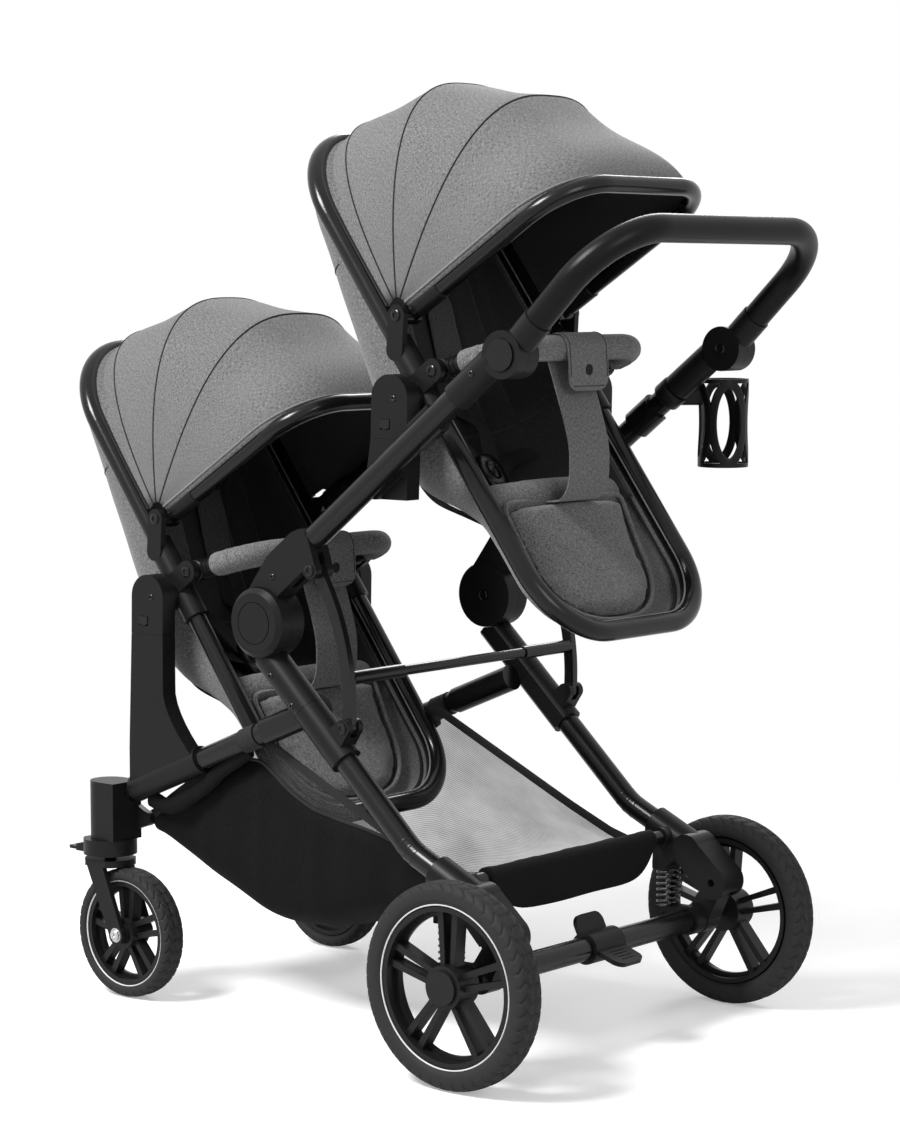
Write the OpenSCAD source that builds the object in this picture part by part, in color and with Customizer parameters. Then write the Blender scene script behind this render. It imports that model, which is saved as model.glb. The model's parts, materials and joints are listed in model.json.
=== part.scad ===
// Tandem double stroller: two reversible seats, one behind the other, on one folding chassis.
// Millimetres. X runs across, -Y is the way of travel, +Z is up.
// The origin lies on the floor under the middle of the stroller.

/* [Wheels] */
// Radius of a rear wheel over its tyre
rear_wheel_r = 125; // [115:1:135]
// Width of a rear tyre
rear_tyre_w = 40; // [32:1:42]
// Radius of the rear rim under its tyre
rear_rim_r = 96; // [88:1:102]
// Distance between the middles of the rear tyres
rear_track = 570; // [568:1:600]
// Radius of a front wheel over its tyre
front_wheel_r = 86.5; // [82:0.5:92]
// Width of a front tyre
front_tyre_w = 35; // [30:1:36]
// Radius of the front rim under its tyre
front_rim_r = 69; // [62:1:72]
// Distance between the middles of the front tyres
front_track = 400; // [398:1:410]
// Number of spoke pairs in a wheel
spoke_pairs = 5; // [3:1:7]

/* [Chassis] */
// Rear axle behind the origin
rear_axle_y = 305.5; // [300:0.5:315]
// Caster stem ahead of the origin
caster_y = -364.5; // [-370:0.5:-362]
// Front wheel axle behind its caster stem
caster_trail = 38; // [30:1:42]
// Fold hinge ahead of the origin
hinge_y = -49; // [-52:0.5:-46]
// Height of the fold hinge
hinge_h = 525.5; // [520:0.5:530]
// Middle plane of the leg and push tubes
side_x = 222; // [220:0.5:226]
// Radius of the fold hinge discs
hub_r = 44; // [40:0.5:46]
// Radius of a leg tube
leg_r = 15; // [13:0.5:16]
// Slope of a leg below the hinge
leg_angle = 43; // [42:0.5:44]
// Radius of a front tube
front_tube_r = 14.5; // [12:0.5:14.5]
// Middle plane of the front tubes
front_tube_x = 189.5; // [188:0.5:189.5]
// Slope of a front tube
front_tube_angle = 22.5; // [22:0.5:23]

/* [Push frame] */
// Slope of the push tubes
push_angle = 38; // [37:0.5:39]
// Radius of a push tube
push_r = 15.5; // [14:0.5:16]
// Push tube above the line through the fold hinge
push_offset = 37.4; // [36:0.2:40]
// Handle joint along the push tube, from the fold hinge
handle_joint_d = 516.5; // [510:0.5:525]
// Slope of the handle above its joint
handle_angle = 44.2; // [40:0.2:48]
// Handle joint to the middle of the cross grip
handle_reach = 209.5; // [190:0.5:220]
// Radius of the padded grip
grip_r = 17; // [15:0.5:18]
// Bend radius of the handle corners
handle_bend_r = 92; // [70:1:110]

/* [Seats] */
// Upper seat's tilt axis behind the origin
seat_y = 145.4; // [142:0.2:149]
// Height of the upper seat's tilt axis
seat_h = 810; // [806:0.5:815]
// Lower seat ahead of the upper one
seat_step_y = 422.5; // [415:0.5:430]
// Lower seat below the upper one
seat_step_h = 270.5; // [265:0.5:275]
// Lean of the seat frame from upright
seat_lean = 36.3; // [34:0.1:38]
// Half width of the seat ring, to its tube's middle
ring_half_w = 158; // [150:0.5:158]
// Radius of the seat ring's tube
ring_r = 12.5; // [10:0.5:12.5]
// Reach of the seat ring above the tilt axis
ring_top = 386; // [360:1:400]
// Reach of the seat ring below the tilt axis
ring_foot = 357; // [345:1:365]
// Depth of the seat fabric behind its ring
shell_depth = 124; // [100:1:130]
// Radius of the canopy around its pivot
canopy_r = 282; // [262:1:290]
// Reach of the bumper bar from its holders
bumper_reach = 90; // [80:1:110]

/* [Hidden] */
$fn = 48;

// Colours
frame_black = "#232325";
gloss_black = "#161618";
plastic_black = "#2a2a2c";
tyre_grey = "#3a3a3c";
heather_grey = "#77787b";
lining_black = "#1d1d1f";
coil_black = "#1b1b1b";

// Clearances and overruns shared by all pieces
fit = 0.05;
slip = 0.4;
seat_gap = 0.3;
over = 2;

// Fold hinge: the inner disc turns with the push tubes, the outer one stays on the leg
hinge = [hinge_y, hinge_h];
hub_in = 18.5;
hub_split = 3.6;
hub_out = 28;
hub_in_x = side_x - hub_in;
hub_split_x = side_x + hub_split;
hub_out_x = side_x + hub_out;
hub_pin_r = 8;
hub_face_r = 27;
hub_face_d = 1.6;
hub_ring_w = 1.2;
hub_rim_r = 6;
sleeve_wall = 5.5;
sleeve_r = leg_r + sleeve_wall;
sleeve_start = 30;
sleeve_end = 123;
leg_offset = -30.7;
flat_gap = 0.6;
inner_flat_x = front_tube_x + front_tube_r + flat_gap;

// Front tubes: a straight line ahead of and below the hinge
front_bolt_r = 6;
front_bolt_in = 2.2;
bolt_seat = 9;
front_tail = 61;
front_line_back = 33.4;
front_line_drop = 118.5;
front_bolt_back = 12;
front_tail_y = hinge_y + front_tail;
front_line_y = hinge_y + front_line_back;
front_line_h = hinge_h - front_line_drop;
function on_front(y) = [y, front_line_h + (y - front_line_y) * tan(front_tube_angle)];
front_bolt = on_front(front_tail_y - front_bolt_back);
front_sleeve_len = 96;
front_sleeve_t = 3;

// Leg: straight to the bend, then flatter down to the housing
leg_start = 66;
leg_straight = 342;
leg_bend_r = 74;
leg_bend_angle = 18;
leg_bead = 0.25;
leg_tail = 92;
leg_foot_angle = leg_bend_angle - leg_angle;
function polar(o, a, d, n) = [o[0] + d * cos(a) - n * sin(a), o[1] + d * sin(a) + n * cos(a)];
function on_push(d, n) = polar(hinge, push_angle, d, n);
function on_leg(d, n) = polar(hinge, -leg_angle, d, n);
function push_height(y) = hinge_h + (y - hinge_y) * tan(push_angle) + push_offset / cos(push_angle);
leg_bend_start = on_leg(leg_straight, leg_offset);
leg_bend_c = polar(leg_bend_start, -leg_angle, 0, leg_bend_r);
leg_bend_end = polar(leg_bend_c, leg_foot_angle, 0, -leg_bend_r);
function on_foot(d, n) = polar(leg_bend_end, leg_foot_angle, d, n);

// Sliding collar and its link up to the push tube
collar_gap = 0.5;
collar_start = sleeve_end + collar_gap;
collar_end = 208;
collar_ear_d = 182.5;
collar_ear_n = 3.6;
ear_r = 11;
ear_root_half = 17;
link_t = 10;
link_w = 15;
link_eye_r = 8.5;
link_pin_r = 4;
link_bulge = 17;
link_in_x = side_x - link_t / 2;
link_out_x = side_x + link_t / 2;
ear_in = 13.5;
ear_out = 14;
ear_in_x = side_x - ear_in;
ear_out_x = side_x + ear_out;
arm_ear_d = 110.4;
arm_ear_n = 3.2;
link_low = on_leg(collar_ear_d, collar_ear_n);
link_top = on_push(arm_ear_d, arm_ear_n);
link_chord = norm(link_top - link_low);
link_arc_r = link_chord * link_chord / 8 / link_bulge + link_bulge / 2;
link_dir = (link_top - link_low) / link_chord;
link_c = (link_top + link_low) / 2 - [link_dir[1], -link_dir[0]] * (link_arc_r - link_bulge);
link_a0 = atan2(link_low[1] - link_c[1], link_low[0] - link_c[0]);
link_a1 = atan2(link_top[1] - link_c[1], link_top[0] - link_c[0]);
crossbar_share = 0.3;
crossbar_a = link_a0 + (link_a1 - link_a0) * crossbar_share;
crossbar_at = polar(link_c, crossbar_a, link_arc_r, 0);
crossbar_r = 6.5;
crossbar_sleeve_r = 8.5;
crossbar_sleeve_len = 96;

// Fold arm: the bracket that carries a push tube on the hinge
arm_half_t = 16.5;
arm_in_x = side_x - arm_half_t;
arm_out_x = side_x + arm_half_t;
arm_len = 128;
arm_rise_d = 62;
arm_peak_n = 58.5;
arm_nose_n = 54;
arm_back_n = 41;
arm_under_n = 9;
arm_under_d = 34;
arm_slot_d = 62;
arm_slot_n = 19.5;
push_start = 100;
push_end_back = 36.5;
push_end = handle_joint_d - push_end_back;

// Handle joint
handle_drop = 8.9;
handle_joint = on_push(handle_joint_d, push_offset - handle_drop);
knuckle_r = 28.5;
knuckle_in = 18.5;
knuckle_out = 18;
knuckle_wall = 3.2;
knuckle_in_x = side_x - knuckle_in;
knuckle_out_x = side_x + knuckle_out;
knuckle_sleeve_r = push_r + knuckle_wall;
knuckle_len = 66;
knuckle_start = handle_joint_d - knuckle_r - knuckle_len;
handle_pin_r = 7;
handle_sleeve_len = 58;
handle_core_r = 12.5;
button_r = 19;
button_t = 6.5;
button_proud = 2.5;
button_well = 8;
handle_far = polar(handle_joint, handle_angle, handle_reach, 0);

// Release slider on the inner side of each push tube
slider_back = 82;
slider_d = knuckle_start - slider_back;
slider_len = 40;
slider_t = 4;
slider_wrap = 5;

// Cup holder on the right push tube
cup_r = 33;
cup_wall = 3.5;
cup_windows = 5;
cup_window_r = 17;
cup_notch_r = 9;
cup_floor_t = 4;
cup_clip_back = 23;
cup_clip_d = knuckle_start - cup_clip_back;
cup_clip_len = 20;
cup_clip_t = 4.5;
cup_clip_at = on_push(cup_clip_d + cup_clip_len / 2, push_offset);
cup_aside = 50;
cup_behind = 47.7293;
cup_tall = 115;
cup_rise = 19.2229;
cup_x = side_x + cup_aside;
cup_y = cup_clip_at[0] + cup_behind;
cup_high = cup_clip_at[1] + cup_rise;
cup_low = cup_high - cup_tall;

// Rear suspension
swing_back = 28.8;
swing_rise = 51;
swing_y = rear_axle_y + swing_back;
swing_h = rear_wheel_r + swing_rise;
swing_pin_r = 5;
swing_half_t = 13.6;
swing_in_x = side_x - swing_half_t;
swing_out_x = side_x + swing_half_t;
swing_pivot_r = 15;
swing_foot_r = 20;
swing_room = 6;
housing_half_t = 21.5;
housing_wall = 6;
housing_in_x = side_x - housing_half_t;
housing_out_x = side_x + housing_half_t;
housing_sleeve_r = leg_r + housing_wall;
housing_start = 34;
housing_end = 104;
housing_end_r = 22;
spring_ahead = 54;
spring_rise = 9;
spring_room = 50;
spring_y = rear_axle_y - spring_ahead;
spring_low = rear_wheel_r + spring_rise;
spring_high = spring_low + spring_room;
spring_r = 8;
spring_wire_r = 1.7;
spring_curls = 6;
spring_rings = 8;
spring_sides = 6;
spring_spread = 11;
spring_plate_t = 5;
spring_plate_r = 11;
axle_r = 15;
axle_boot_r = 19;
axle_boot_len = 22;
stub_r = 6;
stub_len = 62.8;
rear_bar_d = 66;
rear_bar_r = 9;
front_bar_back = 49;
front_bar_y = caster_y + front_bar_back;
front_bar_h = 238;
front_bar_r = 7;
bar_boss_t = 3;
bar_boss_len = 9;
bar_seat = 5;

// Brake pedal
pedal_w = 54;
pedal_hub_w = 60;
pedal_hub_r = 20;
pedal_t = 6;
pedal_up_len = 46;
pedal_down_len = 58;
pedal_up_angle = 116;
pedal_down_angle = -19;
pedal_rise = 10;
rib_t = 1.5;
rib_count = 4;

// Casters
caster_x = front_track / 2;
fork_gap = 4;
fork_t = 7;
fork_crown_h = 183;
fork_crown_t = 9;
fork_crown_r = 27;
fork_arm_half = 11;
fork_axle_r = 5;
fork_eye_r = 13;
stem_r = 8;
stem_len = 60;
post_low = 210;
post_high = 288;
post_half_y = 33;
post_half_x = 26;
post_front_r = 26;
collar_low = 189;
collar_r = 36;
lock_y = 44;
lock_w = 26;
lock_len = 22;
lock_t = 9;
lock_pin_r = 2.5;
lock_ear_t = 4;

// Wheels
hub_len_share = 0.9;
rim_wall = 6;
rim_dish = 5;
hub_cap_r = 20.5;
hub_cap_t = 4;
spoke_w = 9;
spoke_slot = 7;
spoke_t_share = 0.45;
spoke_root_share = 0.7;
front_cap_r = 14;
tyre_round_share = 0.24;

// Seats: places are (n, u), in front of and up along the seat frame from its tilt axis
ring_n = 13.5;
ring_foot_bend = 95;
ring_top_bend = 120;
head_in_x = 182.5;
head_out_x = 205.5;
head_r = 29;
head_back = -7;
head_low = 49.5;
head_left = 37;
head_right = 21;
seat_pin_r = 8;
seat_pin_end_x = 199;
release_w = 15;
release_h = 12;
release_y = -14;
release_z = -32;
release_t = 4;
release_proud = 1;
release_well = 7;
socket_below = 38.3432;
socket_drop = seat_h - head_low - push_height(seat_y) + socket_below;
socket_lean = 8;
post_flare = 58;
post_steps = 12;
post_bend_share = 0.48;
post_curve = 1.6;
post_sleeve_wall = 4;
post_sleeve_r = front_tube_r + post_sleeve_wall;
post_foot_back = 45;
post_foot_front = 78;
clamp_out = 8.5;
clamp_in_x = ring_half_w + clamp_out;
clamp_r = 17;
clamp_low = -45;
clamp_high = 74;
clamp_boss_r = 21;
canopy_pivot = [41, 94];
canopy_boss_r = 13;
canopy_pin_r = 5;
bow_eye_r = 12;
bow_in = 8.5;
bow_in_x = ring_half_w - bow_in;
bow_r = 11;
bow_angle = -3.8;
bow_reach = 291;
bow_bend_r = 76;
fan_rise = 11.4;
fan_root = 48;
fan_end = 92.9;
canopy_half_w = 165;
canopy_t = 4;
fan_ribs = 10;
fan_steps = 16;
fan_power = 2.7;
bumper_at = [47.5, 6.3];
bumper_eye_r = 15;
bumper_r = 16;
bumper_bend_r = 62;
bumper_angle = -19;
shell_t = 5;
shell_rim_n = 3;
shell_in = 5.4;
shell_steps = 14;
shell_power = 3.4;
shell_corner_in = 8.5;
shell_ends_in = 10.5;
// Depth of the shell along the ring, from the foot end to the top, as shares of shell_depth
shell_u_shares = [0, 0.03, 0.09, 0.17, 0.235, 0.3, 0.36, 0.41, 0.463, 0.56, 0.66, 0.76, 0.86, 0.93, 0.97, 1];
shell_d_shares = [0.1, 0.2, 0.27, 0.27, 0.31, 0.56, 0.86, 0.99, 1, 0.85, 0.68, 0.5, 0.31, 0.2, 0.14, 0.08];
pad_half_w = 100;
pad_low = -312;
pad_high = -186;
pad_t = 22;
pad_n = -13;
pad_rings = 5;
pad_steps = 28;
pad_power = 3;
strap_w = 48;
strap_t = 4;
strap_low_n = 20;
strap_low_u = -162;
strap_gap = 0.35;
strap_foot_n = -39.8;

// Basket: half sections from its front bar to its rear bar
basket_half_w = 174;
basket_t = 2.6;
basket_steps = 14;
basket_power = 5;
basket_front = 1.5;
basket_front_y = front_bar_y + front_bar_r + basket_front;
basket_back = 3;
basket_low = 112;
basket_under = 41;
basket_high = front_line_h - basket_under;
// Stations from front to rear, and the floor and the hem there, as shares of the height
basket_y_shares = [0, 0.06, 0.16, 0.3, 0.36, 0.5, 0.64, 0.78, 0.9, 1];
basket_floor_shares = [0.42, 0.32, 0.17, 0.02, 0, 0.02, 0.1, 0.2, 0.28, 0.38];
basket_hem_shares = [0.52, 0.62, 0.76, 0.95, 1, 0.86, 0.72, 0.58, 0.47, 0.41];

module both() {
    children();
    mirror([1, 0, 0]) children();
}

// A plate cut from an outline in the side view (y, z), between two planes across the stroller
module plate(x0, x1) translate([x0, 0, 0]) rotate([90, 0, 90]) linear_extrude(x1 - x0) children();

// A round pin across the stroller at a place in the side view
module pin(at, x0, x1, r) translate([x0, at[0], at[1]]) rotate([0, 90, 0]) cylinder(r = r, h = x1 - x0);

// A straight tube between two places in the side view, in the plane x
module bar(x, p, q, r)
    translate([x, p[0], p[1]])
        rotate([atan2(p[0] - q[0], q[1] - p[1]), 0, 0])
            cylinder(r = r, h = norm(q - p));

// A U of tube across the stroller, in the XY plane: arms along +Y, the cross bar at y = reach
module u_tube(half_w, reach, bend_r, r) {
    both() {
        translate([half_w, 0, 0]) rotate([-90, 0, 0]) cylinder(r = r, h = reach - bend_r);
        translate([half_w - bend_r, reach - bend_r, 0])
            rotate_extrude(angle = 90) translate([bend_r, 0]) circle(r);
    }
    translate([bend_r - half_w, reach, 0]) rotate([0, 90, 0]) cylinder(r = r, h = 2 * (half_w - bend_r));
}

// A closed skin between an outer and an inner grid of points, rows by columns
module skin(outer, inner) {
    rows = len(outer);
    cols = len(outer[0]);
    count = rows * cols;
    points = concat([for (row = outer) each row], [for (row = inner) each row]);
    quads = concat(
        [for (i = [0:rows - 2]) for (j = [0:cols - 2])
            [i * cols + j, i * cols + j + 1, (i + 1) * cols + j + 1, (i + 1) * cols + j]],
        [for (i = [0:rows - 2]) for (j = [0:cols - 2])
            [count + i * cols + j, count + (i + 1) * cols + j,
             count + (i + 1) * cols + j + 1, count + i * cols + j + 1]],
        [for (i = [0:rows - 2]) [i * cols, (i + 1) * cols, count + (i + 1) * cols, count + i * cols]],
        [for (i = [0:rows - 2]) [i * cols + cols - 1, count + i * cols + cols - 1,
            count + (i + 1) * cols + cols - 1, (i + 1) * cols + cols - 1]],
        [for (j = [0:cols - 2]) [j, count + j, count + j + 1, j + 1]],
        [for (j = [0:cols - 2]) [count - cols + j, count - cols + j + 1,
            2 * count - cols + j + 1, 2 * count - cols + j]]);
    polyhedron(points, [for (q = quads) each [[q[0], q[2], q[1]], [q[0], q[3], q[2]]]]);
}

// A rounded arch: 0 at its left foot, 1 at its right, as (across, up) with both up to 1
function arch(t, power) =
    let (a = 180 * t, c = cos(a), s = max(sin(a), 0))
    [-sign(c) * pow(abs(c), 2 / power), pow(s, 2 / power)];

// Fold hinge and legs

module hub_disc(x0, x1) pin(hinge, x0, x1, hub_r);

module fold_hubs() color(plastic_black) both() {
    difference() {
        union() {
            pin(hinge, hub_split_x + slip, hub_out_x - hub_rim_r, hub_r);
            translate([hub_out_x - hub_rim_r, hinge_y, hinge_h]) rotate([0, 90, 0])
                cylinder(r1 = hub_r, r2 = hub_r - hub_rim_r, h = hub_rim_r);
            bar(side_x, on_leg(sleeve_start, leg_offset), on_leg(sleeve_end, leg_offset), sleeve_r);
        }
        pin(hinge, hub_in_x - hub_r, hub_split_x + slip, hub_r + 2 * slip);
        translate([0, hinge_y, hinge_h]) rotate([-leg_angle, 0, 0])
            translate([0, 0, leg_offset - sleeve_r - over])
                cube([inner_flat_x, sleeve_end + over, 2 * sleeve_r + 2 * over]);
        bar(side_x, on_leg(leg_start, leg_offset), on_leg(sleeve_end + over, leg_offset), leg_r + fit);
        translate([hub_out_x, hinge_y, hinge_h]) rotate([0, 90, 0]) translate([0, 0, -hub_face_d])
            difference() {
                cylinder(r = hub_face_r, h = hub_face_d + over);
                translate([0, 0, -over]) cylinder(r = hub_face_r - hub_ring_w, h = hub_face_d + 3 * over);
            }
        pin(front_bolt, front_tube_x, inner_flat_x + front_bolt_in, front_bolt_r + fit);
    }
    pin(hinge, hub_in_x + bolt_seat, hub_split_x + 2 * slip, hub_pin_r);
}

module front_tubes() color(frame_black) both() {
    bar(front_tube_x, on_front(caster_y + post_half_y - bolt_seat), on_front(front_tail_y), front_tube_r);
    intersection() {
        bar(front_tube_x, on_front(front_tail_y - front_sleeve_len), on_front(front_tail_y),
            front_tube_r + front_sleeve_t);
        translate([0, caster_y, 0]) cube([inner_flat_x - slip, -2 * caster_y, hinge_h]);
    }
    pin(front_bolt, front_tube_x, inner_flat_x + front_bolt_in - fit, front_bolt_r);
}

// The leg's bend is drawn as two short turns, each on a ball of the tube's radius
leg_turns = [on_leg(leg_straight, leg_offset), polar(leg_bend_c, leg_foot_angle - leg_bend_angle / 2, 0, -leg_bend_r),
             on_foot(0, 0)];

module leg_tubes() color(frame_black) both() {
    bar(side_x, on_leg(leg_start + fit, leg_offset), leg_turns[0], leg_r);
    bar(side_x, leg_turns[0], leg_turns[1], leg_r);
    bar(side_x, leg_turns[1], leg_turns[2], leg_r);
    bar(side_x, leg_turns[2], on_foot(leg_tail, 0), leg_r);
    for (p = leg_turns) translate([side_x, p[0], p[1]]) sphere(r = leg_r + leg_bead);
}

rear_bar_at = on_foot(rear_bar_d, 0);
swing_pivot = [swing_y, swing_h];

module leg_housings() color(plastic_black) both() difference() {
    union() {
        bar(side_x, on_foot(housing_start, 0), on_foot(housing_end, 0), housing_sleeve_r);
        pin(rear_bar_at, housing_in_x - bar_boss_len, side_x, rear_bar_r + bar_boss_t);
        plate(housing_in_x, housing_out_x) {
            translate(on_foot(housing_end, 0)) circle(housing_end_r);
            translate(swing_pivot) circle(housing_end_r);
            polygon([on_foot(housing_end, housing_end_r), on_foot(housing_end, -housing_end_r),
                     swing_pivot + [-housing_end_r, -housing_end_r / 2],
                     swing_pivot + [housing_end_r * cos(leg_angle), housing_end_r * sin(leg_angle)]]);
            polygon([on_foot(housing_start + leg_r, 0), on_foot(housing_end, 0),
                     [spring_y + spring_plate_r, spring_high + spring_plate_t],
                     [spring_y + spring_plate_r, spring_high],
                     [spring_y - spring_plate_r, spring_high],
                     [spring_y - spring_plate_r, spring_high + 2 * spring_plate_t]]);
        }
    }
    bar(side_x, on_foot(housing_start - over, 0), on_foot(leg_tail + fit, 0), leg_r + fit);
    // Slot in which the swing arm turns
    plate(swing_in_x - slip, swing_out_x + slip) {
        translate(swing_pivot) circle(swing_pivot_r + 3 * slip);
        polygon([swing_pivot + [-swing_pivot_r - swing_room, swing_room], swing_pivot + [swing_pivot_r + 3 * slip, 0],
                 swing_pivot + [housing_end_r + over, -2 * housing_end_r],
                 swing_pivot + [-2 * housing_end_r, -2 * housing_end_r]]);
    }
    pin(rear_bar_at, -side_x, housing_in_x - bar_boss_len + bar_seat, rear_bar_r + fit);
    pin(swing_pivot, housing_in_x - over, housing_out_x + over, swing_pin_r + fit);
}

module basket_bars() color(frame_black) {
    pin(rear_bar_at, -housing_in_x + bar_boss_len - bar_seat, housing_in_x - bar_boss_len + bar_seat, rear_bar_r);
    pin([front_bar_y, front_bar_h], -caster_x + post_half_x + bar_seat - bar_boss_len,
        caster_x - post_half_x - bar_seat + bar_boss_len, front_bar_r);
}

// Rear axle, suspension and brake

module swing_arms() color(plastic_black) both() {
    difference() {
        union() {
            plate(swing_in_x, swing_out_x) {
                translate(swing_pivot) circle(swing_pivot_r);
                translate([rear_axle_y, rear_wheel_r]) circle(swing_foot_r);
                polygon([swing_pivot + [swing_pivot_r, 0], swing_pivot - [swing_pivot_r, 0],
                         [rear_axle_y - swing_foot_r, rear_wheel_r], [rear_axle_y + swing_foot_r, rear_wheel_r]]);
                polygon([[rear_axle_y, rear_wheel_r + swing_foot_r / 2], [rear_axle_y, rear_wheel_r - swing_foot_r / 2],
                         [spring_y - spring_plate_r, spring_low - spring_plate_t],
                         [spring_y - spring_plate_r, spring_low], [spring_y + spring_plate_r, spring_low]]);
            }
            pin([rear_axle_y, rear_wheel_r], swing_in_x - axle_boot_len, swing_in_x + over, axle_boot_r);
            pin([rear_axle_y, rear_wheel_r], swing_out_x - over, swing_out_x + axle_boot_len / 2, axle_r);
        }
        pin([rear_axle_y, rear_wheel_r], 0, swing_in_x + bolt_seat, axle_r + fit);
        pin(swing_pivot, swing_in_x - over, swing_out_x + over, swing_pin_r + fit);
    }
    pin([rear_axle_y, rear_wheel_r], swing_out_x, swing_out_x + stub_len, stub_r);
}

module axle_tube() color(frame_black)
    pin([rear_axle_y, rear_wheel_r], -swing_in_x - bolt_seat + fit, swing_in_x + bolt_seat - fit, axle_r);

// One coil spring along +Z: turns between two straight square ends
function coil_point(i, turns_h) =
    let (a = 360 * i / spring_rings, h = turns_h * i / (spring_rings * spring_curls))
    [spring_r * cos(a), spring_r * sin(a), h];
spring_lead = 2 * spring_wire_r;
spring_turns_h = spring_high - spring_low - 2 * seat_gap - 2 * spring_lead;
spring_pitch = spring_turns_h / spring_curls;
coil_path = concat([[spring_r, 0, -spring_lead]],
                   [for (i = [0:spring_rings * spring_curls]) coil_point(i, spring_turns_h)],
                   [[spring_r, 0, spring_turns_h + spring_lead]]);
coil_gap = min([for (i = [1:len(coil_path) - 2]) for (j = [i + spring_rings / 2:len(coil_path) - 2])
                norm(coil_path[i] - coil_path[j])]) - 2 * spring_wire_r;
echo(spring_least_gap_to_itself = coil_gap);

function unit(v) = v / norm(v);
function ring_frame(path, i) =
    let (last = len(path) - 1,
         t = unit(path[min(i + 1, last)] - path[max(i - 1, 0)]),
         flat = i == 0 || i == last,
         d = flat ? [0, 0, 1] : t,
         side = unit(cross(d, [path[i][1], -path[i][0], 0] == [0, 0, 0] ? [1, 0, 0] : [path[i][0], path[i][1], 0])))
    [side, cross(d, side)];

module coil() {
    rings = len(coil_path);
    points = [for (i = [0:rings - 1]) let (f = ring_frame(coil_path, i)) for (k = [0:spring_sides - 1])
        coil_path[i] + spring_wire_r * (cos(360 * k / spring_sides) * f[0] + sin(360 * k / spring_sides) * f[1])];
    walls = [for (i = [0:rings - 2]) for (k = [0:spring_sides - 1])
        let (k2 = (k + 1) % spring_sides)
        each [[i * spring_sides + k, i * spring_sides + k2, (i + 1) * spring_sides + k],
              [i * spring_sides + k2, (i + 1) * spring_sides + k2, (i + 1) * spring_sides + k]]];
    caps = [for (k = [1:spring_sides - 2]) each [[0, k + 1, k],
        [(rings - 1) * spring_sides, (rings - 1) * spring_sides + k, (rings - 1) * spring_sides + k + 1]]];
    polyhedron(points, [for (f = concat(walls, caps)) [f[0], f[2], f[1]]]);
}

module suspension_springs() color(coil_black) both() for (s = [-1, 1])
    translate([side_x + s * spring_spread, spring_y, spring_low + seat_gap + spring_lead]) coil();

module paddle(len, a) translate([0, rear_axle_y, rear_wheel_r]) rotate([a, 0, 0]) difference() {
    translate([-pedal_w / 2, pedal_hub_r - pedal_t / 2, 0]) union() {
        cube([pedal_w, len - pedal_hub_r - pedal_w / 4, pedal_t]);
        translate([pedal_w / 4, len - pedal_hub_r - pedal_w / 4, 0]) cylinder(r = pedal_w / 4, h = pedal_t);
        translate([3 * pedal_w / 4, len - pedal_hub_r - pedal_w / 4, 0]) cylinder(r = pedal_w / 4, h = pedal_t);
        translate([pedal_w / 4, len - pedal_hub_r - pedal_w / 4, 0]) cube([pedal_w / 2, pedal_w / 4, pedal_t]);
    }
    for (i = [1:rib_count])
        translate([-pedal_w / 4, pedal_hub_r + i * (len - pedal_hub_r) / (rib_count + 2), pedal_t - rib_t / 2])
            cube([pedal_w / 2, rib_t, rib_t]);
}

module brake_pedal() color(plastic_black) difference() {
    union() {
        pin([rear_axle_y, rear_wheel_r], -pedal_hub_w / 2, pedal_hub_w / 2, pedal_hub_r);
        paddle(pedal_up_len, pedal_up_angle);
        paddle(pedal_down_len, pedal_down_angle);
    }
    pin([rear_axle_y, rear_wheel_r], -pedal_hub_w, pedal_hub_w, axle_r + fit);
}

// Wheels, drawn about the X axis at the origin with their outer face towards +X

module tyre(r, w, rim_r) {
    round_r = w * tyre_round_share;
    rotate([0, 90, 0]) rotate_extrude() {
        translate([rim_r + fit, -w / 2 + round_r]) square([r - rim_r - fit, w - 2 * round_r]);
        translate([rim_r + fit, -w / 2]) square([r - rim_r - fit - round_r, w]);
        for (s = [-1, 1]) translate([r - round_r, s * (w / 2 - round_r)]) circle(round_r);
    }
}

module rim(r, w, hub_r, bore_r, cap_r, through) {
    hub_half = w * hub_len_share / 2;
    spoke_t = w * spoke_t_share;
    difference() {
        union() {
          pin([0, 0], hub_half - over, hub_half + hub_cap_t, cap_r);
          rotate([0, 90, 0]) {
            rotate_extrude() {
                translate([r - rim_wall, -w / 2 + rim_dish]) square([rim_wall, w - 2 * rim_dish]);
                translate([r - 2 * rim_wall, -rim_dish]) square([2 * rim_wall, rim_dish]);
            }
            translate([0, 0, -hub_half]) cylinder(r = hub_r, h = 2 * hub_half);
            for (k = [0:spoke_pairs - 1]) rotate(180 + 360 * k / spoke_pairs) for (s = [-1, 1])
                translate([0, 0, -spoke_t / 2]) linear_extrude(spoke_t)
                    polygon([[hub_r / 2, s * spoke_slot / 2], [r - rim_wall / 2, s * spoke_slot],
                             [r - rim_wall / 2, s * (spoke_slot + spoke_w)],
                             [hub_r / 2, s * (spoke_slot / 2 + spoke_w * spoke_root_share)]]);
          }
        }
        pin([0, 0], -w, through ? w : hub_half - hub_cap_t, bore_r + fit);
    }
}

module rear_wheel_place() translate([rear_track / 2, rear_axle_y, rear_wheel_r]) children();
module front_wheel_place() translate([caster_x, caster_y + caster_trail, front_wheel_r]) children();
module rear_tyre() color(tyre_grey) rear_wheel_place() tyre(rear_wheel_r, rear_tyre_w, rear_rim_r);
module rear_rim() color(plastic_black) rear_wheel_place()
    rim(rear_rim_r, rear_tyre_w, hub_cap_r + rim_wall, stub_r, hub_cap_r, false);
module front_tyre() color(tyre_grey) front_wheel_place() tyre(front_wheel_r, front_tyre_w, front_rim_r);
module front_rim() color(plastic_black) front_wheel_place()
    rim(front_rim_r, front_tyre_w, front_cap_r + rim_wall, fork_axle_r, front_cap_r, true);

// Casters

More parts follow.
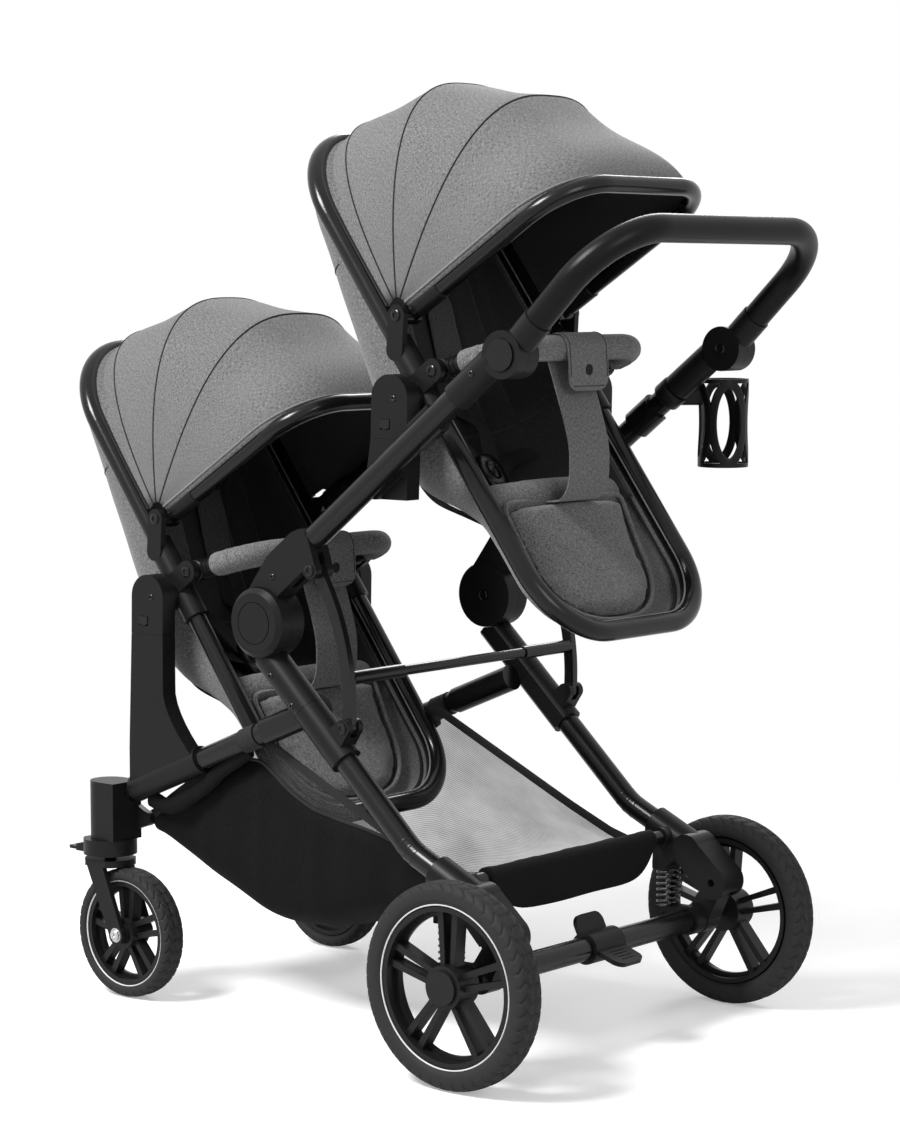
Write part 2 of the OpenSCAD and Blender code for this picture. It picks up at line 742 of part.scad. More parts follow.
fork_in = front_tyre_w / 2 + fork_gap;
front_axle = [caster_y + caster_trail, front_wheel_r];

module caster_fork() color(plastic_black) {
    for (s = [-1, 1]) plate(caster_x + s * (fork_in + fork_t / 2) - fork_t / 2,
                            caster_x + s * (fork_in + fork_t / 2) + fork_t / 2) {
        translate(front_axle) circle(fork_eye_r);
        polygon([front_axle + [fork_eye_r, 0], front_axle - [fork_eye_r, 0],
                 [caster_y - fork_arm_half - fork_crown_t, fork_crown_h],
                 [caster_y + fork_arm_half, fork_crown_h]]);
    }
    translate([caster_x, caster_y, fork_crown_h - fork_crown_t]) intersection() {
        cylinder(r = fork_crown_r + fork_t, h = fork_crown_t);
        translate([-fork_in - fork_t, -fork_crown_r - fork_t, 0])
            cube([2 * (fork_in + fork_t), 2 * (fork_crown_r + fork_t), fork_crown_t]);
    }
    translate([caster_x, caster_y, fork_crown_h - over]) cylinder(r = stem_r, h = stem_len + over);
    pin(front_axle, caster_x - fork_in - over, caster_x + fork_in + over, fork_axle_r);
}

module caster_housings() color(plastic_black) both() difference() {
    union() {
        translate([caster_x - post_half_x, caster_y, post_low])
            cube([2 * post_half_x, post_half_y, post_high - post_low]);
        translate([caster_x, caster_y, post_low]) cylinder(r = post_front_r, h = post_high - post_low);
        translate([caster_x, caster_y, collar_low]) cylinder(r = collar_r, h = post_low - collar_low);
        plate(caster_x - post_half_x, caster_x - post_half_x + lock_t)
            polygon([[caster_y, front_bar_h + post_half_y], [front_bar_y, front_bar_h + front_bar_r + bar_boss_t],
                     [front_bar_y, front_bar_h - front_bar_r - bar_boss_t], [caster_y, post_low]]);
        pin([front_bar_y, front_bar_h], caster_x - post_half_x - bar_boss_len + lock_t, caster_x - post_half_x + lock_t,
            front_bar_r + bar_boss_t);
        for (s = [-1, 1]) plate(caster_x + s * (lock_w / 2 + lock_ear_t / 2 + slip) - lock_ear_t / 2,
                                caster_x + s * (lock_w / 2 + lock_ear_t / 2 + slip) + lock_ear_t / 2)
            polygon([[caster_y - lock_y - lock_t / 2, collar_low], [caster_y, collar_low], [caster_y, post_low],
                     [caster_y - lock_y - lock_t / 2, collar_low + lock_t]]);
    }
    translate([caster_x, caster_y, collar_low - over]) cylinder(r = stem_r + fit, h = stem_len);
    bar(front_tube_x, on_front(caster_y + post_half_y - bolt_seat - fit), on_front(hinge_y), front_tube_r + fit);
    pin([front_bar_y, front_bar_h], 0, caster_x - post_half_x - bar_seat + bar_boss_len, front_bar_r + fit);
    translate([caster_x - lock_w / 2 - slip, caster_y - collar_r - lock_len, collar_low - over])
        cube([lock_w + 2 * slip, lock_len + lock_t / 2, post_low - collar_low + 2 * over]);
}

module swivel_lock() color(gloss_black) {
    lock_at = [caster_y - lock_y, collar_low + lock_t / 2];
    pin(lock_at, caster_x - lock_w / 2, caster_x + lock_w / 2, lock_t / 2 - slip);
    translate([caster_x - lock_w / 2, lock_at[0] - lock_len, lock_at[1] - lock_t / 2 + slip])
        cube([lock_w, lock_len, lock_t / 2]);
}

// Push frame and handle

module push_tubes() color(frame_black) both()
    bar(side_x, on_push(push_start, push_offset), on_push(push_end, push_offset), push_r);

module arm_outline() translate(hinge) rotate(push_angle)
    polygon([[0, arm_back_n], [arm_rise_d, arm_peak_n], [arm_len - link_w, arm_peak_n], [arm_len, arm_nose_n],
             [arm_len + link_t / 2, push_offset], [arm_ear_d + ear_r, arm_ear_n],
             [arm_ear_d, arm_ear_n - ear_r], [arm_ear_d - ear_r, arm_ear_n],
             [arm_ear_d - ear_r, arm_under_n], [arm_under_d, arm_under_n]]);

module fold_arms() color(plastic_black) both() difference() {
    union() {
        hub_disc(hub_in_x, hub_split_x);
        difference() {
            plate(arm_in_x, arm_out_x) {
                arm_outline();
                translate(link_top) circle(ear_r);
            }
            pin(hinge, hub_split_x, hub_out_x, hub_r + 2 * slip);
        }
    }
    pin(hinge, hub_in_x - over, hub_split_x + over, hub_pin_r + fit);
    bar(side_x, on_push(push_start - fit, push_offset), on_push(push_end, push_offset), push_r + fit);
    // Slot for the head of the link
    plate(link_in_x - slip, link_out_x + slip) translate(hinge) rotate(push_angle)
        translate([arm_slot_d, -arm_slot_n]) square([arm_len, 2 * arm_slot_n]);
}

module fold_collars() color(plastic_black) both() {
    difference() {
        union() {
            bar(side_x, on_leg(collar_start, leg_offset), on_leg(collar_end, leg_offset), sleeve_r);
            plate(ear_in_x, ear_out_x) {
                translate(link_low) circle(ear_r);
                polygon([on_leg(collar_ear_d - ear_root_half, leg_offset), on_leg(collar_ear_d + ear_root_half, leg_offset),
                         on_leg(collar_ear_d + ear_r, collar_ear_n), on_leg(collar_ear_d - ear_r, collar_ear_n)]);
            }
        }
        bar(side_x, on_leg(collar_start - over, leg_offset), on_leg(collar_end + over, leg_offset), leg_r + fit);
        translate([0, hinge_y, hinge_h]) rotate([-leg_angle, 0, 0])
            translate([0, 0, leg_offset - sleeve_r - over])
                cube([inner_flat_x, collar_end + over, 2 * sleeve_r + 2 * over]);
        plate(link_in_x - slip, link_out_x + slip) {
            translate(link_low) circle(ear_r + over);
            polygon([on_leg(collar_ear_d - ear_r - ear_root_half, collar_ear_n), on_leg(collar_ear_d + ear_r + over, collar_ear_n),
                     on_leg(collar_ear_d + ear_r + over, 2 * ear_r), on_leg(collar_ear_d - ear_r - ear_root_half, 2 * ear_r)]);
        }
    }
    pin(link_low, ear_in_x + over, ear_out_x - over, link_pin_r);
}

module fold_links() color(frame_black) both() difference() {
    union() {
        translate([link_in_x + slip, link_c[0], link_c[1]]) rotate([90, 0, 90]) rotate(link_a0)
            rotate_extrude(angle = link_a1 - link_a0)
                translate([link_arc_r - link_w / 2, 0]) square([link_w, link_t - 2 * slip]);
        pin(link_low, link_in_x, link_out_x, link_eye_r);
        pin(link_top, link_in_x, link_out_x, link_eye_r);
    }
    pin(link_low, link_in_x - over, link_out_x + over, link_pin_r + fit);
}

module link_crossbar() color(frame_black) {
    pin(crossbar_at, -link_in_x, link_in_x, crossbar_r);
    both() pin(crossbar_at, link_in_x - crossbar_sleeve_len, link_in_x, crossbar_sleeve_r);
}

module handle_knuckles() color(plastic_black) both() difference() {
    union() {
        pin(handle_joint, side_x + slip, knuckle_out_x, knuckle_r);
        bar(side_x, on_push(knuckle_start, push_offset),
            on_push(handle_joint_d - knuckle_r / 2, push_offset), knuckle_sleeve_r);
    }
    pin(handle_joint, knuckle_in_x - knuckle_r, side_x + slip, knuckle_r + 2 * slip);
    bar(side_x, on_push(push_start, push_offset), on_push(push_end + fit, push_offset), push_r + fit);
    pin(handle_joint, knuckle_out_x - button_well, knuckle_out_x + over, button_r + slip);
    pin(handle_joint, side_x - over, knuckle_out_x, handle_pin_r + fit);
}

module handle_hubs() color(plastic_black) both() {
    difference() {
        union() {
            pin(handle_joint, knuckle_in_x, side_x, knuckle_r);
            bar(side_x, polar(handle_joint, handle_angle, knuckle_r / 2, 0),
                polar(handle_joint, handle_angle, handle_sleeve_len, 0), knuckle_sleeve_r);
        }
        pin(handle_joint, side_x, side_x + knuckle_r, knuckle_r + 2 * slip);
        bar(side_x, polar(handle_joint, handle_angle, knuckle_r + over, 0),
            polar(handle_joint, handle_angle, handle_sleeve_len + over, 0), handle_core_r + fit);
    }
    pin(handle_joint, side_x - over, knuckle_out_x - button_well - over, handle_pin_r);
}

module handle_bar() color(gloss_black) {
    translate([0, handle_joint[0], handle_joint[1]]) rotate([handle_angle, 0, 0]) {
        translate([0, handle_sleeve_len + fit, 0])
            u_tube(side_x, handle_reach - handle_sleeve_len - fit, handle_bend_r, grip_r);
        both() translate([side_x, knuckle_r + over + fit, 0]) rotate([-90, 0, 0])
            cylinder(r = handle_core_r, h = handle_sleeve_len - knuckle_r);
    }
}

module handle_button() color(gloss_black)
    pin(handle_joint, knuckle_out_x + button_proud - button_t, knuckle_out_x + button_proud, button_r);

module fold_slider() color(gloss_black) intersection() {
    difference() {
        bar(side_x, on_push(slider_d, push_offset), on_push(slider_d + slider_len, push_offset), push_r + slip + slider_t);
        bar(side_x, on_push(slider_d - over, push_offset), on_push(slider_d + slider_len + over, push_offset), push_r + slip);
    }
    translate([0, hinge_y, hinge_h]) cube([side_x + slider_wrap, handle_joint_d, handle_joint_d]);
}

module cup_holder() color(plastic_black) difference() {
    union() {
        translate([-cup_x, cup_y, cup_low]) cylinder(r = cup_r, h = cup_high - cup_low);
        bar(-side_x, on_push(cup_clip_d, push_offset), on_push(cup_clip_d + cup_clip_len, push_offset), push_r + cup_clip_t);
        translate([-cup_x, cup_clip_at[0] - cup_clip_len / 2, cup_high - 2 * cup_clip_len])
            cube([cup_x - side_x, cup_y - cup_r / 2 - cup_clip_at[0] + cup_clip_len / 2, 2 * cup_clip_len]);
    }
    translate([-cup_x, cup_y, cup_low + cup_floor_t]) cylinder(r = cup_r - cup_wall, h = cup_high);
    bar(-side_x, on_push(push_start, push_offset), on_push(push_end, push_offset), push_r + fit);
    bar(-side_x, on_push(knuckle_start - slip, push_offset), on_push(push_end, push_offset), knuckle_sleeve_r + slip);
    for (k = [0:cup_windows - 1]) translate([-cup_x, cup_y, (cup_low + cup_high) / 2]) rotate(360 * k / cup_windows) {
        translate([0, -cup_wall - cup_r / 2, 0]) rotate([90, 0, 0]) cylinder(r = cup_window_r, h = cup_r);
        rotate(180 / cup_windows) for (s = [-1, 1])
            translate([0, -cup_wall - cup_r / 2, s * (cup_window_r + cup_notch_r)])
                rotate([90, 0, 0]) cylinder(r = cup_notch_r, h = cup_r);
    }
}

// Seats: both are one design, placed twice

module upper_place() translate([0, seat_y, seat_h]) children();
module lower_place() translate([0, seat_y - seat_step_y, seat_h - seat_step_h]) children();
module leaned() rotate([seat_lean, 0, 0]) children();

module head_outline() {
    translate([head_back, 0]) circle(head_r);
    polygon([[-head_left, -head_low], [head_right, -head_low], [head_back + head_r, 0], [head_back - head_r, 0]]);
}

module seat_heads() color(plastic_black) both() difference() {
    plate(head_in_x, head_out_x) head_outline();
    pin([0, 0], head_in_x - over, seat_pin_end_x + slip, seat_pin_r + fit);
    translate([head_out_x - release_well, release_y - release_w / 2 - slip, release_z - release_h / 2 - slip])
        cube([release_well + over, release_w + 2 * slip, release_h + 2 * slip]);
}

module release() color(gloss_black) intersection() {
    translate([head_out_x + release_proud - release_t, release_y - release_w / 2, release_z - release_h / 2])
        cube([release_t, release_w, release_h]);
    pin([release_y, release_z + release_h / 2], head_in_x, head_out_x + release_proud, release_h);
}

module upper_seat_sockets() color(plastic_black) both() difference() {
    plate(head_in_x, side_x - push_r / 2) translate([seat_y, seat_h])
        polygon([[-head_left, -head_low - seat_gap], [head_right, -head_low - seat_gap],
                 [head_right + over, -head_low - socket_drop / 3], [head_right, -head_low - socket_drop],
                 [-head_left + socket_lean, -head_low - socket_drop], [-head_left - socket_lean, -head_low - 2 * socket_drop / 3]]);
    bar(side_x, on_push(push_start, push_offset), on_push(push_end, push_offset), push_r + fit);
    plate(head_out_x, side_x) translate([seat_y, seat_h]) difference() {
        translate([-socket_drop, -2 * socket_drop]) square([2 * socket_drop, 2 * socket_drop]);
        translate(on_push(0, push_offset) - [seat_y, seat_h]) rotate(push_angle)
            translate([0, -push_r - over]) square([push_end, 2 * push_r + 2 * over]);
    }
}

// The back edge of a post: straight down from the head, then out to the foot in a curve
function post_edge(low, foot, t) =
    let (top = low + [head_right, -head_low - seat_gap], k = max(0, (t - post_bend_share) / (1 - post_bend_share)))
    [top[0] + (foot[0] - top[0]) * pow(k, post_curve), top[1] + (foot[1] - top[1]) * t];

module lower_seat_posts() color(plastic_black) both() difference() {
    low = [seat_y - seat_step_y, seat_h - seat_step_h];
    foot_front = on_front(low[0] - post_foot_back);
    foot_back = on_front(low[0] + post_foot_front);
    union() {
        plate(head_in_x, head_out_x) polygon([
            low + [-head_left, -head_low - seat_gap],
            for (k = [0:post_steps]) post_edge(low, foot_back + [-over, over], k / post_steps),
            foot_front + [over, over], foot_front + [over, post_flare]]);
        bar(front_tube_x, foot_front, foot_back, post_sleeve_r);
    }
    bar(front_tube_x, on_front(caster_y), on_front(hinge_y), front_tube_r + fit);
}

module ring_path(r) {
    both() {
        translate([ring_half_w, ring_n, ring_foot_bend - ring_foot])
            cylinder(r = r, h = ring_foot + ring_top - ring_foot_bend - ring_top_bend);
        translate([ring_half_w - ring_foot_bend, ring_n, ring_foot_bend - ring_foot]) rotate([90, 90, 0])
            rotate_extrude(angle = 90) translate([ring_foot_bend, 0]) circle(r);
        translate([ring_half_w - ring_top_bend, ring_n, ring_top - ring_top_bend]) rotate([90, 0, 0])
            rotate_extrude(angle = 90) translate([ring_top_bend, 0]) circle(r);
    }
    translate([ring_foot_bend - ring_half_w, ring_n, -ring_foot]) rotate([0, 90, 0])
        cylinder(r = r, h = 2 * (ring_half_w - ring_foot_bend));
    translate([ring_top_bend - ring_half_w, ring_n, ring_top]) rotate([0, 90, 0])
        cylinder(r = r, h = 2 * (ring_half_w - ring_top_bend));
}

module seat_frame() color(gloss_black) leaned() ring_path(ring_r);

// A flat arm from p to q, round at both ends
module arm_shape(p, q, r) {
    side = (r - slip) / norm(q - p) * [p[1] - q[1], q[0] - p[0]];
    translate(p) circle(r);
    translate(q) circle(r);
    polygon([p + side, q + side, q - side, p - side]);
}

module seat_clamps() color(plastic_black) leaned() both() {
    difference() {
        union() {
            translate([ring_half_w, ring_n, clamp_low]) cylinder(r = clamp_r, h = clamp_high - clamp_low);
            pin([0, 0], ring_half_w, head_in_x - slip, clamp_boss_r);
            // An arm up to the canopy's pivot, and one out to the bumper bar
            plate(clamp_in_x, ring_half_w + clamp_r) {
                arm_shape([ring_n, clamp_high - canopy_boss_r], canopy_pivot, canopy_boss_r);
                arm_shape([ring_n, bumper_at[1]], bumper_at, bumper_eye_r);
            }
        }
        translate([ring_half_w, ring_n, clamp_low - over])
            cylinder(r = ring_r + fit, h = clamp_high - clamp_low + 2 * over);
        translate([ring_half_w, ring_n, clamp_high]) cylinder(r = ring_r + slip, h = clamp_boss_r);
        // Room for the rim of the seat shell
        translate([0, shell_rim_n - shell_depth, clamp_low - over])
            cube([ring_half_w - shell_in + slip, shell_depth + slip, clamp_high - clamp_low + 2 * over]);
    }
    pin([0, 0], head_in_x - 2 * slip, seat_pin_end_x, seat_pin_r);
    pin(canopy_pivot, bow_in_x - bow_r, clamp_in_x + over, canopy_pin_r);
    pin(bumper_at, bow_in_x - bow_r, clamp_in_x + over, canopy_pin_r);
}

module canopy_bow() color(gloss_black) leaned() difference() {
    union() {
        translate([0, canopy_pivot[0], canopy_pivot[1]]) rotate([bow_angle, 0, 0])
            u_tube(bow_in_x, bow_reach, bow_bend_r, bow_r);
        both() pin(canopy_pivot, bow_in_x - bow_r + slip, clamp_in_x - slip, bow_eye_r);
    }
    both() pin(canopy_pivot, bow_in_x - bow_r - over, clamp_in_x, canopy_pin_r + fit);
}

// The canopy is a fan of arched ribs about a line just above its pivot
fan_c = canopy_pivot + [0, fan_rise];
fan_t0 = asin(pow(fan_root / canopy_r, fan_power / 2)) / 180;
function fan_point(i, j, inset) =
    let (a = bow_angle + (fan_end - bow_angle) * i / fan_ribs,
         p = arch(fan_t0 + (1 - 2 * fan_t0) * j / fan_steps, fan_power),
         x = p[0] * (canopy_half_w - inset),
         d = p[1] * (canopy_r - inset))
    [x, fan_c[0] + d * cos(a), fan_c[1] + d * sin(a)];
function fan_grid(inset) = [for (i = [0:fan_ribs]) [for (j = [0:fan_steps]) fan_point(i, j, inset)]];

module canopy() color(heather_grey) leaned() skin(fan_grid(0), fan_grid(canopy_t));

module bumper_bar() color(heather_grey) leaned() difference() {
    union() {
        translate([0, bumper_at[0], bumper_at[1]]) rotate([bumper_angle, 0, 0])
            u_tube(bow_in_x, bumper_reach, bumper_bend_r, bumper_r * 3 / 4);
        translate([0, bumper_at[0], bumper_at[1]]) rotate([bumper_angle, 0, 0])
            translate([0, bumper_eye_r + bumper_r / 2, 0])
                u_tube(bow_in_x, bumper_reach - bumper_eye_r - bumper_r / 2, bumper_bend_r, bumper_r);
        both() pin(bumper_at, bow_in_x - bow_r + slip, clamp_in_x - slip, bumper_eye_r);
    }
    both() pin(bumper_at, bow_in_x - bow_r - over, clamp_in_x, canopy_pin_r + fit);
}

// The shell hangs from the ring like a hammock: a row of U sections from its foot end to its top
shell_low = shell_ends_in - ring_foot;
shell_high = ring_top - shell_ends_in;
function corner(w, bend, past) = w - bend + sqrt(max(pow(bend - shell_corner_in, 2) - past * past, 0));
function shell_half(u) = min(
    ring_half_w - shell_in,
    corner(ring_half_w, ring_foot_bend, max(ring_foot_bend - ring_foot - u, 0)),
    corner(ring_half_w, ring_top_bend, max(u - ring_top + ring_top_bend, 0)));
function shell_point(i, j, inset) =
    let (u = shell_low + (shell_high - shell_low) * shell_u_shares[i],
         p = arch(j / shell_steps, shell_power))
    [-p[0] * (shell_half(u) - inset), shell_rim_n - p[1] * (shell_depth * shell_d_shares[i] - inset), u];
function shell_grid(inset) =
    [for (i = [0:len(shell_u_shares) - 1]) [for (j = [0:shell_steps]) shell_point(i, j, inset)]];

module seat_shell() color(heather_grey) leaned() skin(shell_grid(0), shell_grid(shell_t));

// A cushion: crowned top, flatter underside, sides drawn in to a narrow edge
function pad_point(k, j, s) =
    let (a = 360 * j / pad_steps, d = k / pad_rings,
         c = cos(a), q = sin(a),
         x = sign(c) * pow(abs(c), 2 / pad_power) * pad_half_w * d,
         y = sign(q) * pow(abs(q), 2 / pad_power) * (pad_high - pad_low) / 2 * d,
         h = pow(max(1 - pow(d, 4), 0), 0.5))
    [x, pad_n + s * pad_t / 2 * h, (pad_low + pad_high) / 2 + y];

pad_top = [for (k = [1:pad_rings]) for (j = [0:pad_steps - 1]) pad_point(k, j, 1)];
pad_under = [for (k = [1:pad_rings - 1]) for (j = [0:pad_steps - 1]) pad_point(k, j, -1)];
pad_crown = len(pad_top) + len(pad_under);
function pad_at(k, j) = (k - 1) * pad_steps + j % pad_steps;
function pad_low_at(k, j) = k == pad_rings ? pad_at(k, j) : len(pad_top) + pad_at(k, j);

module foot_pad() color(heather_grey) leaned() polyhedron(
    concat(pad_top, pad_under, [pad_point(0, 0, 1), pad_point(0, 0, -1)]),
    concat(
        [for (j = [0:pad_steps - 1]) each [[pad_crown, pad_at(1, j), pad_at(1, j + 1)],
            [pad_crown + 1, pad_low_at(1, j + 1), pad_low_at(1, j)]]],
        [for (k = [1:pad_rings - 1]) for (j = [0:pad_steps - 1]) each [
            [pad_at(k, j), pad_at(k + 1, j), pad_at(k + 1, j + 1)],
            [pad_at(k, j), pad_at(k + 1, j + 1), pad_at(k, j + 1)],
            [pad_low_at(k, j), pad_low_at(k + 1, j + 1), pad_low_at(k + 1, j)],
            [pad_low_at(k, j), pad_low_at(k, j + 1), pad_low_at(k + 1, j + 1)]]]));

bumper_front = bumper_at + bumper_reach * [cos(bumper_angle), sin(bumper_angle)];

module crotch_strap() color(heather_grey) leaned() plate(-strap_w / 2, strap_w / 2) {
    low = [strap_low_n, strap_low_u];
    high = bumper_front - [0, bumper_r + strap_gap];
    polygon([[strap_foot_n, strap_low_u], low, high + [strap_t, 0], high,
             low + [-strap_t, strap_t], [strap_foot_n, strap_low_u + strap_t]]);
}

// Storage basket, hung between the front tubes and the rear bar
basket_end_y = rear_bar_at[0] - rear_bar_r - basket_back;
function basket_point(i, j, inset) =
    let (y = basket_front_y + (basket_end_y - basket_front_y) * basket_y_shares[i],
         low = basket_low + (basket_high - basket_low) * basket_floor_shares[i],
         hem = basket_low + (basket_high - basket_low) * basket_hem_shares[i],
         p = arch(j / basket_steps, basket_power))
    [p[0] * (basket_half_w - inset), y, hem - p[1] * (hem - low - inset)];
function basket_grid(inset) =
    [for (i = [0:len(basket_y_shares) - 1]) [for (j = [0:basket_steps]) basket_point(i, j, inset)]];

module basket() color(lining_black) skin(basket_grid(0), basket_grid(basket_t));

// Every node
module right() mirror([1, 0, 0]) children();
front_tubes();
fold_hubs();
leg_tubes();
leg_housings();
caster_housings();
lower_seat_posts();
basket_bars();
basket();
push_tubes();
fold_arms();
handle_knuckles();
upper_seat_sockets();
cup_holder();
handle_bar();
handle_hubs();
handle_button();  // handle_button_left
right() handle_button();  // handle_button_right
fold_slider();  // fold_slider_left
right() fold_slider();  // fold_slider_right
fold_collars();
fold_links();
link_crossbar();
axle_tube();
swing_arms();
suspension_springs();
brake_pedal();
rear_tyre();  // rear_tyre_left
rear_rim();  // rear_rim_left
right() rear_tyre();  // rear_tyre_right
right() rear_rim();  // rear_rim_right
caster_fork();  // caster_fork_left
right() caster_fork();  // caster_fork_right
swivel_lock();  // swivel_lock_left
right() swivel_lock();  // swivel_lock_right
front_tyre();  // front_tyre_left
front_rim();  // front_rim_left
right() front_tyre();  // front_tyre_right
right() front_rim();  // front_rim_right
upper_place() seat_heads();  // upper_seat_heads
upper_place() release();  // upper_release_left
upper_place() right() release();  // upper_release_right
upper_place() seat_frame();  // upper_seat_frame
upper_place() seat_clamps();  // upper_seat_clamps
upper_place() seat_shell();  // upper_seat_shell
upper_place() foot_pad();  // upper_foot_pad
upper_place() canopy_bow();  // upper_canopy_bow
upper_place() canopy();  // upper_canopy
upper_place() bumper_bar();  // upper_bumper_bar
upper_place() crotch_strap();  // upper_crotch_strap
lower_place() seat_heads();  // lower_seat_heads
lower_place() release();  // lower_release_left
lower_place() right() release();  // lower_release_right
lower_place() seat_frame();  // lower_seat_frame
lower_place() seat_clamps();  // lower_seat_clamps
lower_place() seat_shell();  // lower_seat_shell
lower_place() foot_pad();  // lower_foot_pad
lower_place() canopy_bow();  // lower_canopy_bow
lower_place() canopy();  // lower_canopy
lower_place() bumper_bar();  // lower_bumper_bar
lower_place() crotch_strap();  // lower_crotch_strap
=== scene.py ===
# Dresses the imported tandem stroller: cloth, padding, webbing, tread and finishes over the fixed frame
import json
import math

import bmesh
import bpy
import numpy as np
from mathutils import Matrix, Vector


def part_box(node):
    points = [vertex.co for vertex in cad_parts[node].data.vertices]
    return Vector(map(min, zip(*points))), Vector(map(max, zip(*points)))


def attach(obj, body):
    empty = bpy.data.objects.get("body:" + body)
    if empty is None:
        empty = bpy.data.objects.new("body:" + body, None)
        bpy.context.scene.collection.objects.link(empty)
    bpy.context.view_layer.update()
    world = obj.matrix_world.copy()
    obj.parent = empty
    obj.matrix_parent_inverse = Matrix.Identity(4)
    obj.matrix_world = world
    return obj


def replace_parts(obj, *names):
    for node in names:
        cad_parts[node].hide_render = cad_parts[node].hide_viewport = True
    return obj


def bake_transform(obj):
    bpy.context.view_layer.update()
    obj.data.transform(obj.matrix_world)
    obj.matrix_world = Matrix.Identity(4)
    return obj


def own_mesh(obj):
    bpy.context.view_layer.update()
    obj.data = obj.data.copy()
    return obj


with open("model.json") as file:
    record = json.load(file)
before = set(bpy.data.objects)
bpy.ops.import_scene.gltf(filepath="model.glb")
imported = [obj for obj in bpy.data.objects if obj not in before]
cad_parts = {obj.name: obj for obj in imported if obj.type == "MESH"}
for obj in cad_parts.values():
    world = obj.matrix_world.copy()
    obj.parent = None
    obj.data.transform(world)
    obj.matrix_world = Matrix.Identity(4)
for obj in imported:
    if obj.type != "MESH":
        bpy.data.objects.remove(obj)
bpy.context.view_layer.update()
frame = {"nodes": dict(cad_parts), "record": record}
mm, tau, quarter = 0.001, 2 * math.pi, math.pi / 2
scene = bpy.context.scene
scene.view_settings.view_transform = "Standard"


# puts a camera or lamp in the scene, looking at a place
def aim(name, data, at, to):
    made = bpy.data.objects.new(name, data)
    scene.collection.objects.link(made)
    made.location = at
    made.rotation_euler = (Vector(to) - Vector(at)).to_track_quat("-Z", "Y").to_euler()
    return made


# camera at the photograph's angle
shot = {"from": (2.9363, 2.5316, 0.945), "at": (0.0, 0.0622, 0.5908), "lens": 95.71, "sensor": 36.0}
cameraData = bpy.data.cameras.new("camera")
cameraData.lens, cameraData.sensor_width = shot["lens"], shot["sensor"]
scene.camera = aim("camera", cameraData, shot["from"], shot["at"])


# one Math node for an operator, with its two sides swapped for the reflected form
def operator(kind, reflected=False):
    def apply(self, other):
        return self.maths(kind, other, self) if reflected else self.maths(kind, self, other)
    return apply


# shader sockets as Python values
class Wire:
    def __init__(self, tree, socket=None):
        self.tree, self.socket = tree, socket

    # any node: its type, settings set first, then values or links for its sockets
    def node(self, kind, settings, links, out=0):
        made = self.tree.nodes.new(kind)
        for key, value in settings.items():
            setattr(made, key, value)
        for key, value in links.items():
            if isinstance(value, Wire):
                self.tree.links.new(value.socket, made.inputs[key])
            else:
                made.inputs[key].default_value = value
        return Wire(self.tree, made.outputs[out])

    def into(self, shader, name):
        self.tree.links.new(self.socket, shader.inputs[name])

    def maths(self, operation, *values):
        return self.node("ShaderNodeMath", {"operation": operation}, dict(enumerate(values)))

    __add__ = __radd__ = operator("ADD")
    __mul__ = __rmul__ = operator("MULTIPLY")
    __sub__, __rsub__ = operator("SUBTRACT"), operator("SUBTRACT", True)
    __truediv__, __rtruediv__ = operator("DIVIDE"), operator("DIVIDE", True)
    __pow__, __rpow__ = operator("POWER"), operator("POWER", True)

    def sine(self):
        return self.maths("SINE", self)

    def size(self):
        return self.maths("ABSOLUTE", self)

    def clamped(self):
        return self.node("ShaderNodeClamp", {}, {"Value": self})

    # a vector stretched by three factors
    def stretch(self, factors):
        return self.node("ShaderNodeVectorMath", {"operation": "MULTIPLY"}, {0: self, 1: factors})

    def part(self, axis):
        return self.node("ShaderNodeSeparateXYZ", {}, {0: self}, axis)

    def noise(self, scale, detail, rough):
        return self.node("ShaderNodeTexNoise", {},
                         {"Vector": self, "Scale": scale, "Detail": detail, "Roughness": rough})

    # from one grey to another by this factor
    def between(self, low, high):
        return self.node("ShaderNodeMix", {"data_type": "RGBA"},
                         {0: self, 6: (low, low, low, 1), 7: (high, high, high, 1)}, 2)

    def bump(self, strength, depth):
        return self.node("ShaderNodeBump", {}, {"Strength": strength, "Distance": depth, "Height": self})


def startFinish(name, source, fixed):
    made = bpy.data.materials.new(name)
    made.use_nodes = True
    shader = made.node_tree.nodes["Principled BSDF"]
    for key, value in fixed.items():
        shader.inputs[key].default_value = value
    return made, shader, Wire(made.node_tree).node("ShaderNodeTexCoord", {}, {}, source)


# moulded plastic, rubber and painted metal: cloudy tone, uneven sheen and a fine grain
hardLook = {"clouds": 14.0, "mottle": 160.0, "dark": 0.8, "pale": 1.25, "shade": 0.6, "dustTone": 0.06,
            "grainRough": 0.06, "coatRough": 0.16, "bump": 0.5}


def hardFinish(name, tone, rough, grain, depth, metal=0.0, coat=0.0, vary=0.12, dust=0.0, gloss=0.35):
    made, shader, spot = startFinish(name, "Object", {"Metallic": metal, "Coat Weight": coat,
                                     "Coat Roughness": hardLook["coatRough"], "Specular IOR Level": gloss})
    clouds, fine = spot.noise(hardLook["clouds"], 5.0, 0.6), spot.noise(grain, 2.0, 0.5)
    shade = clouds * 0.5 + spot.noise(hardLook["mottle"], 3.0, 0.6) * 0.5
    dusty = shade ** 3 * dust + shade * hardLook["shade"]
    pale = tone * hardLook["pale"] + dust * hardLook["dustTone"]
    dusty.between(tone * hardLook["dark"], pale).into(shader, "Base Color")
    level = rough - vary / 2 - hardLook["grainRough"] / 2
    (clouds * vary + fine * hardLook["grainRough"] + level).into(shader, "Roughness")
    fine.bump(hardLook["bump"], depth).into(shader, "Normal")
    return made


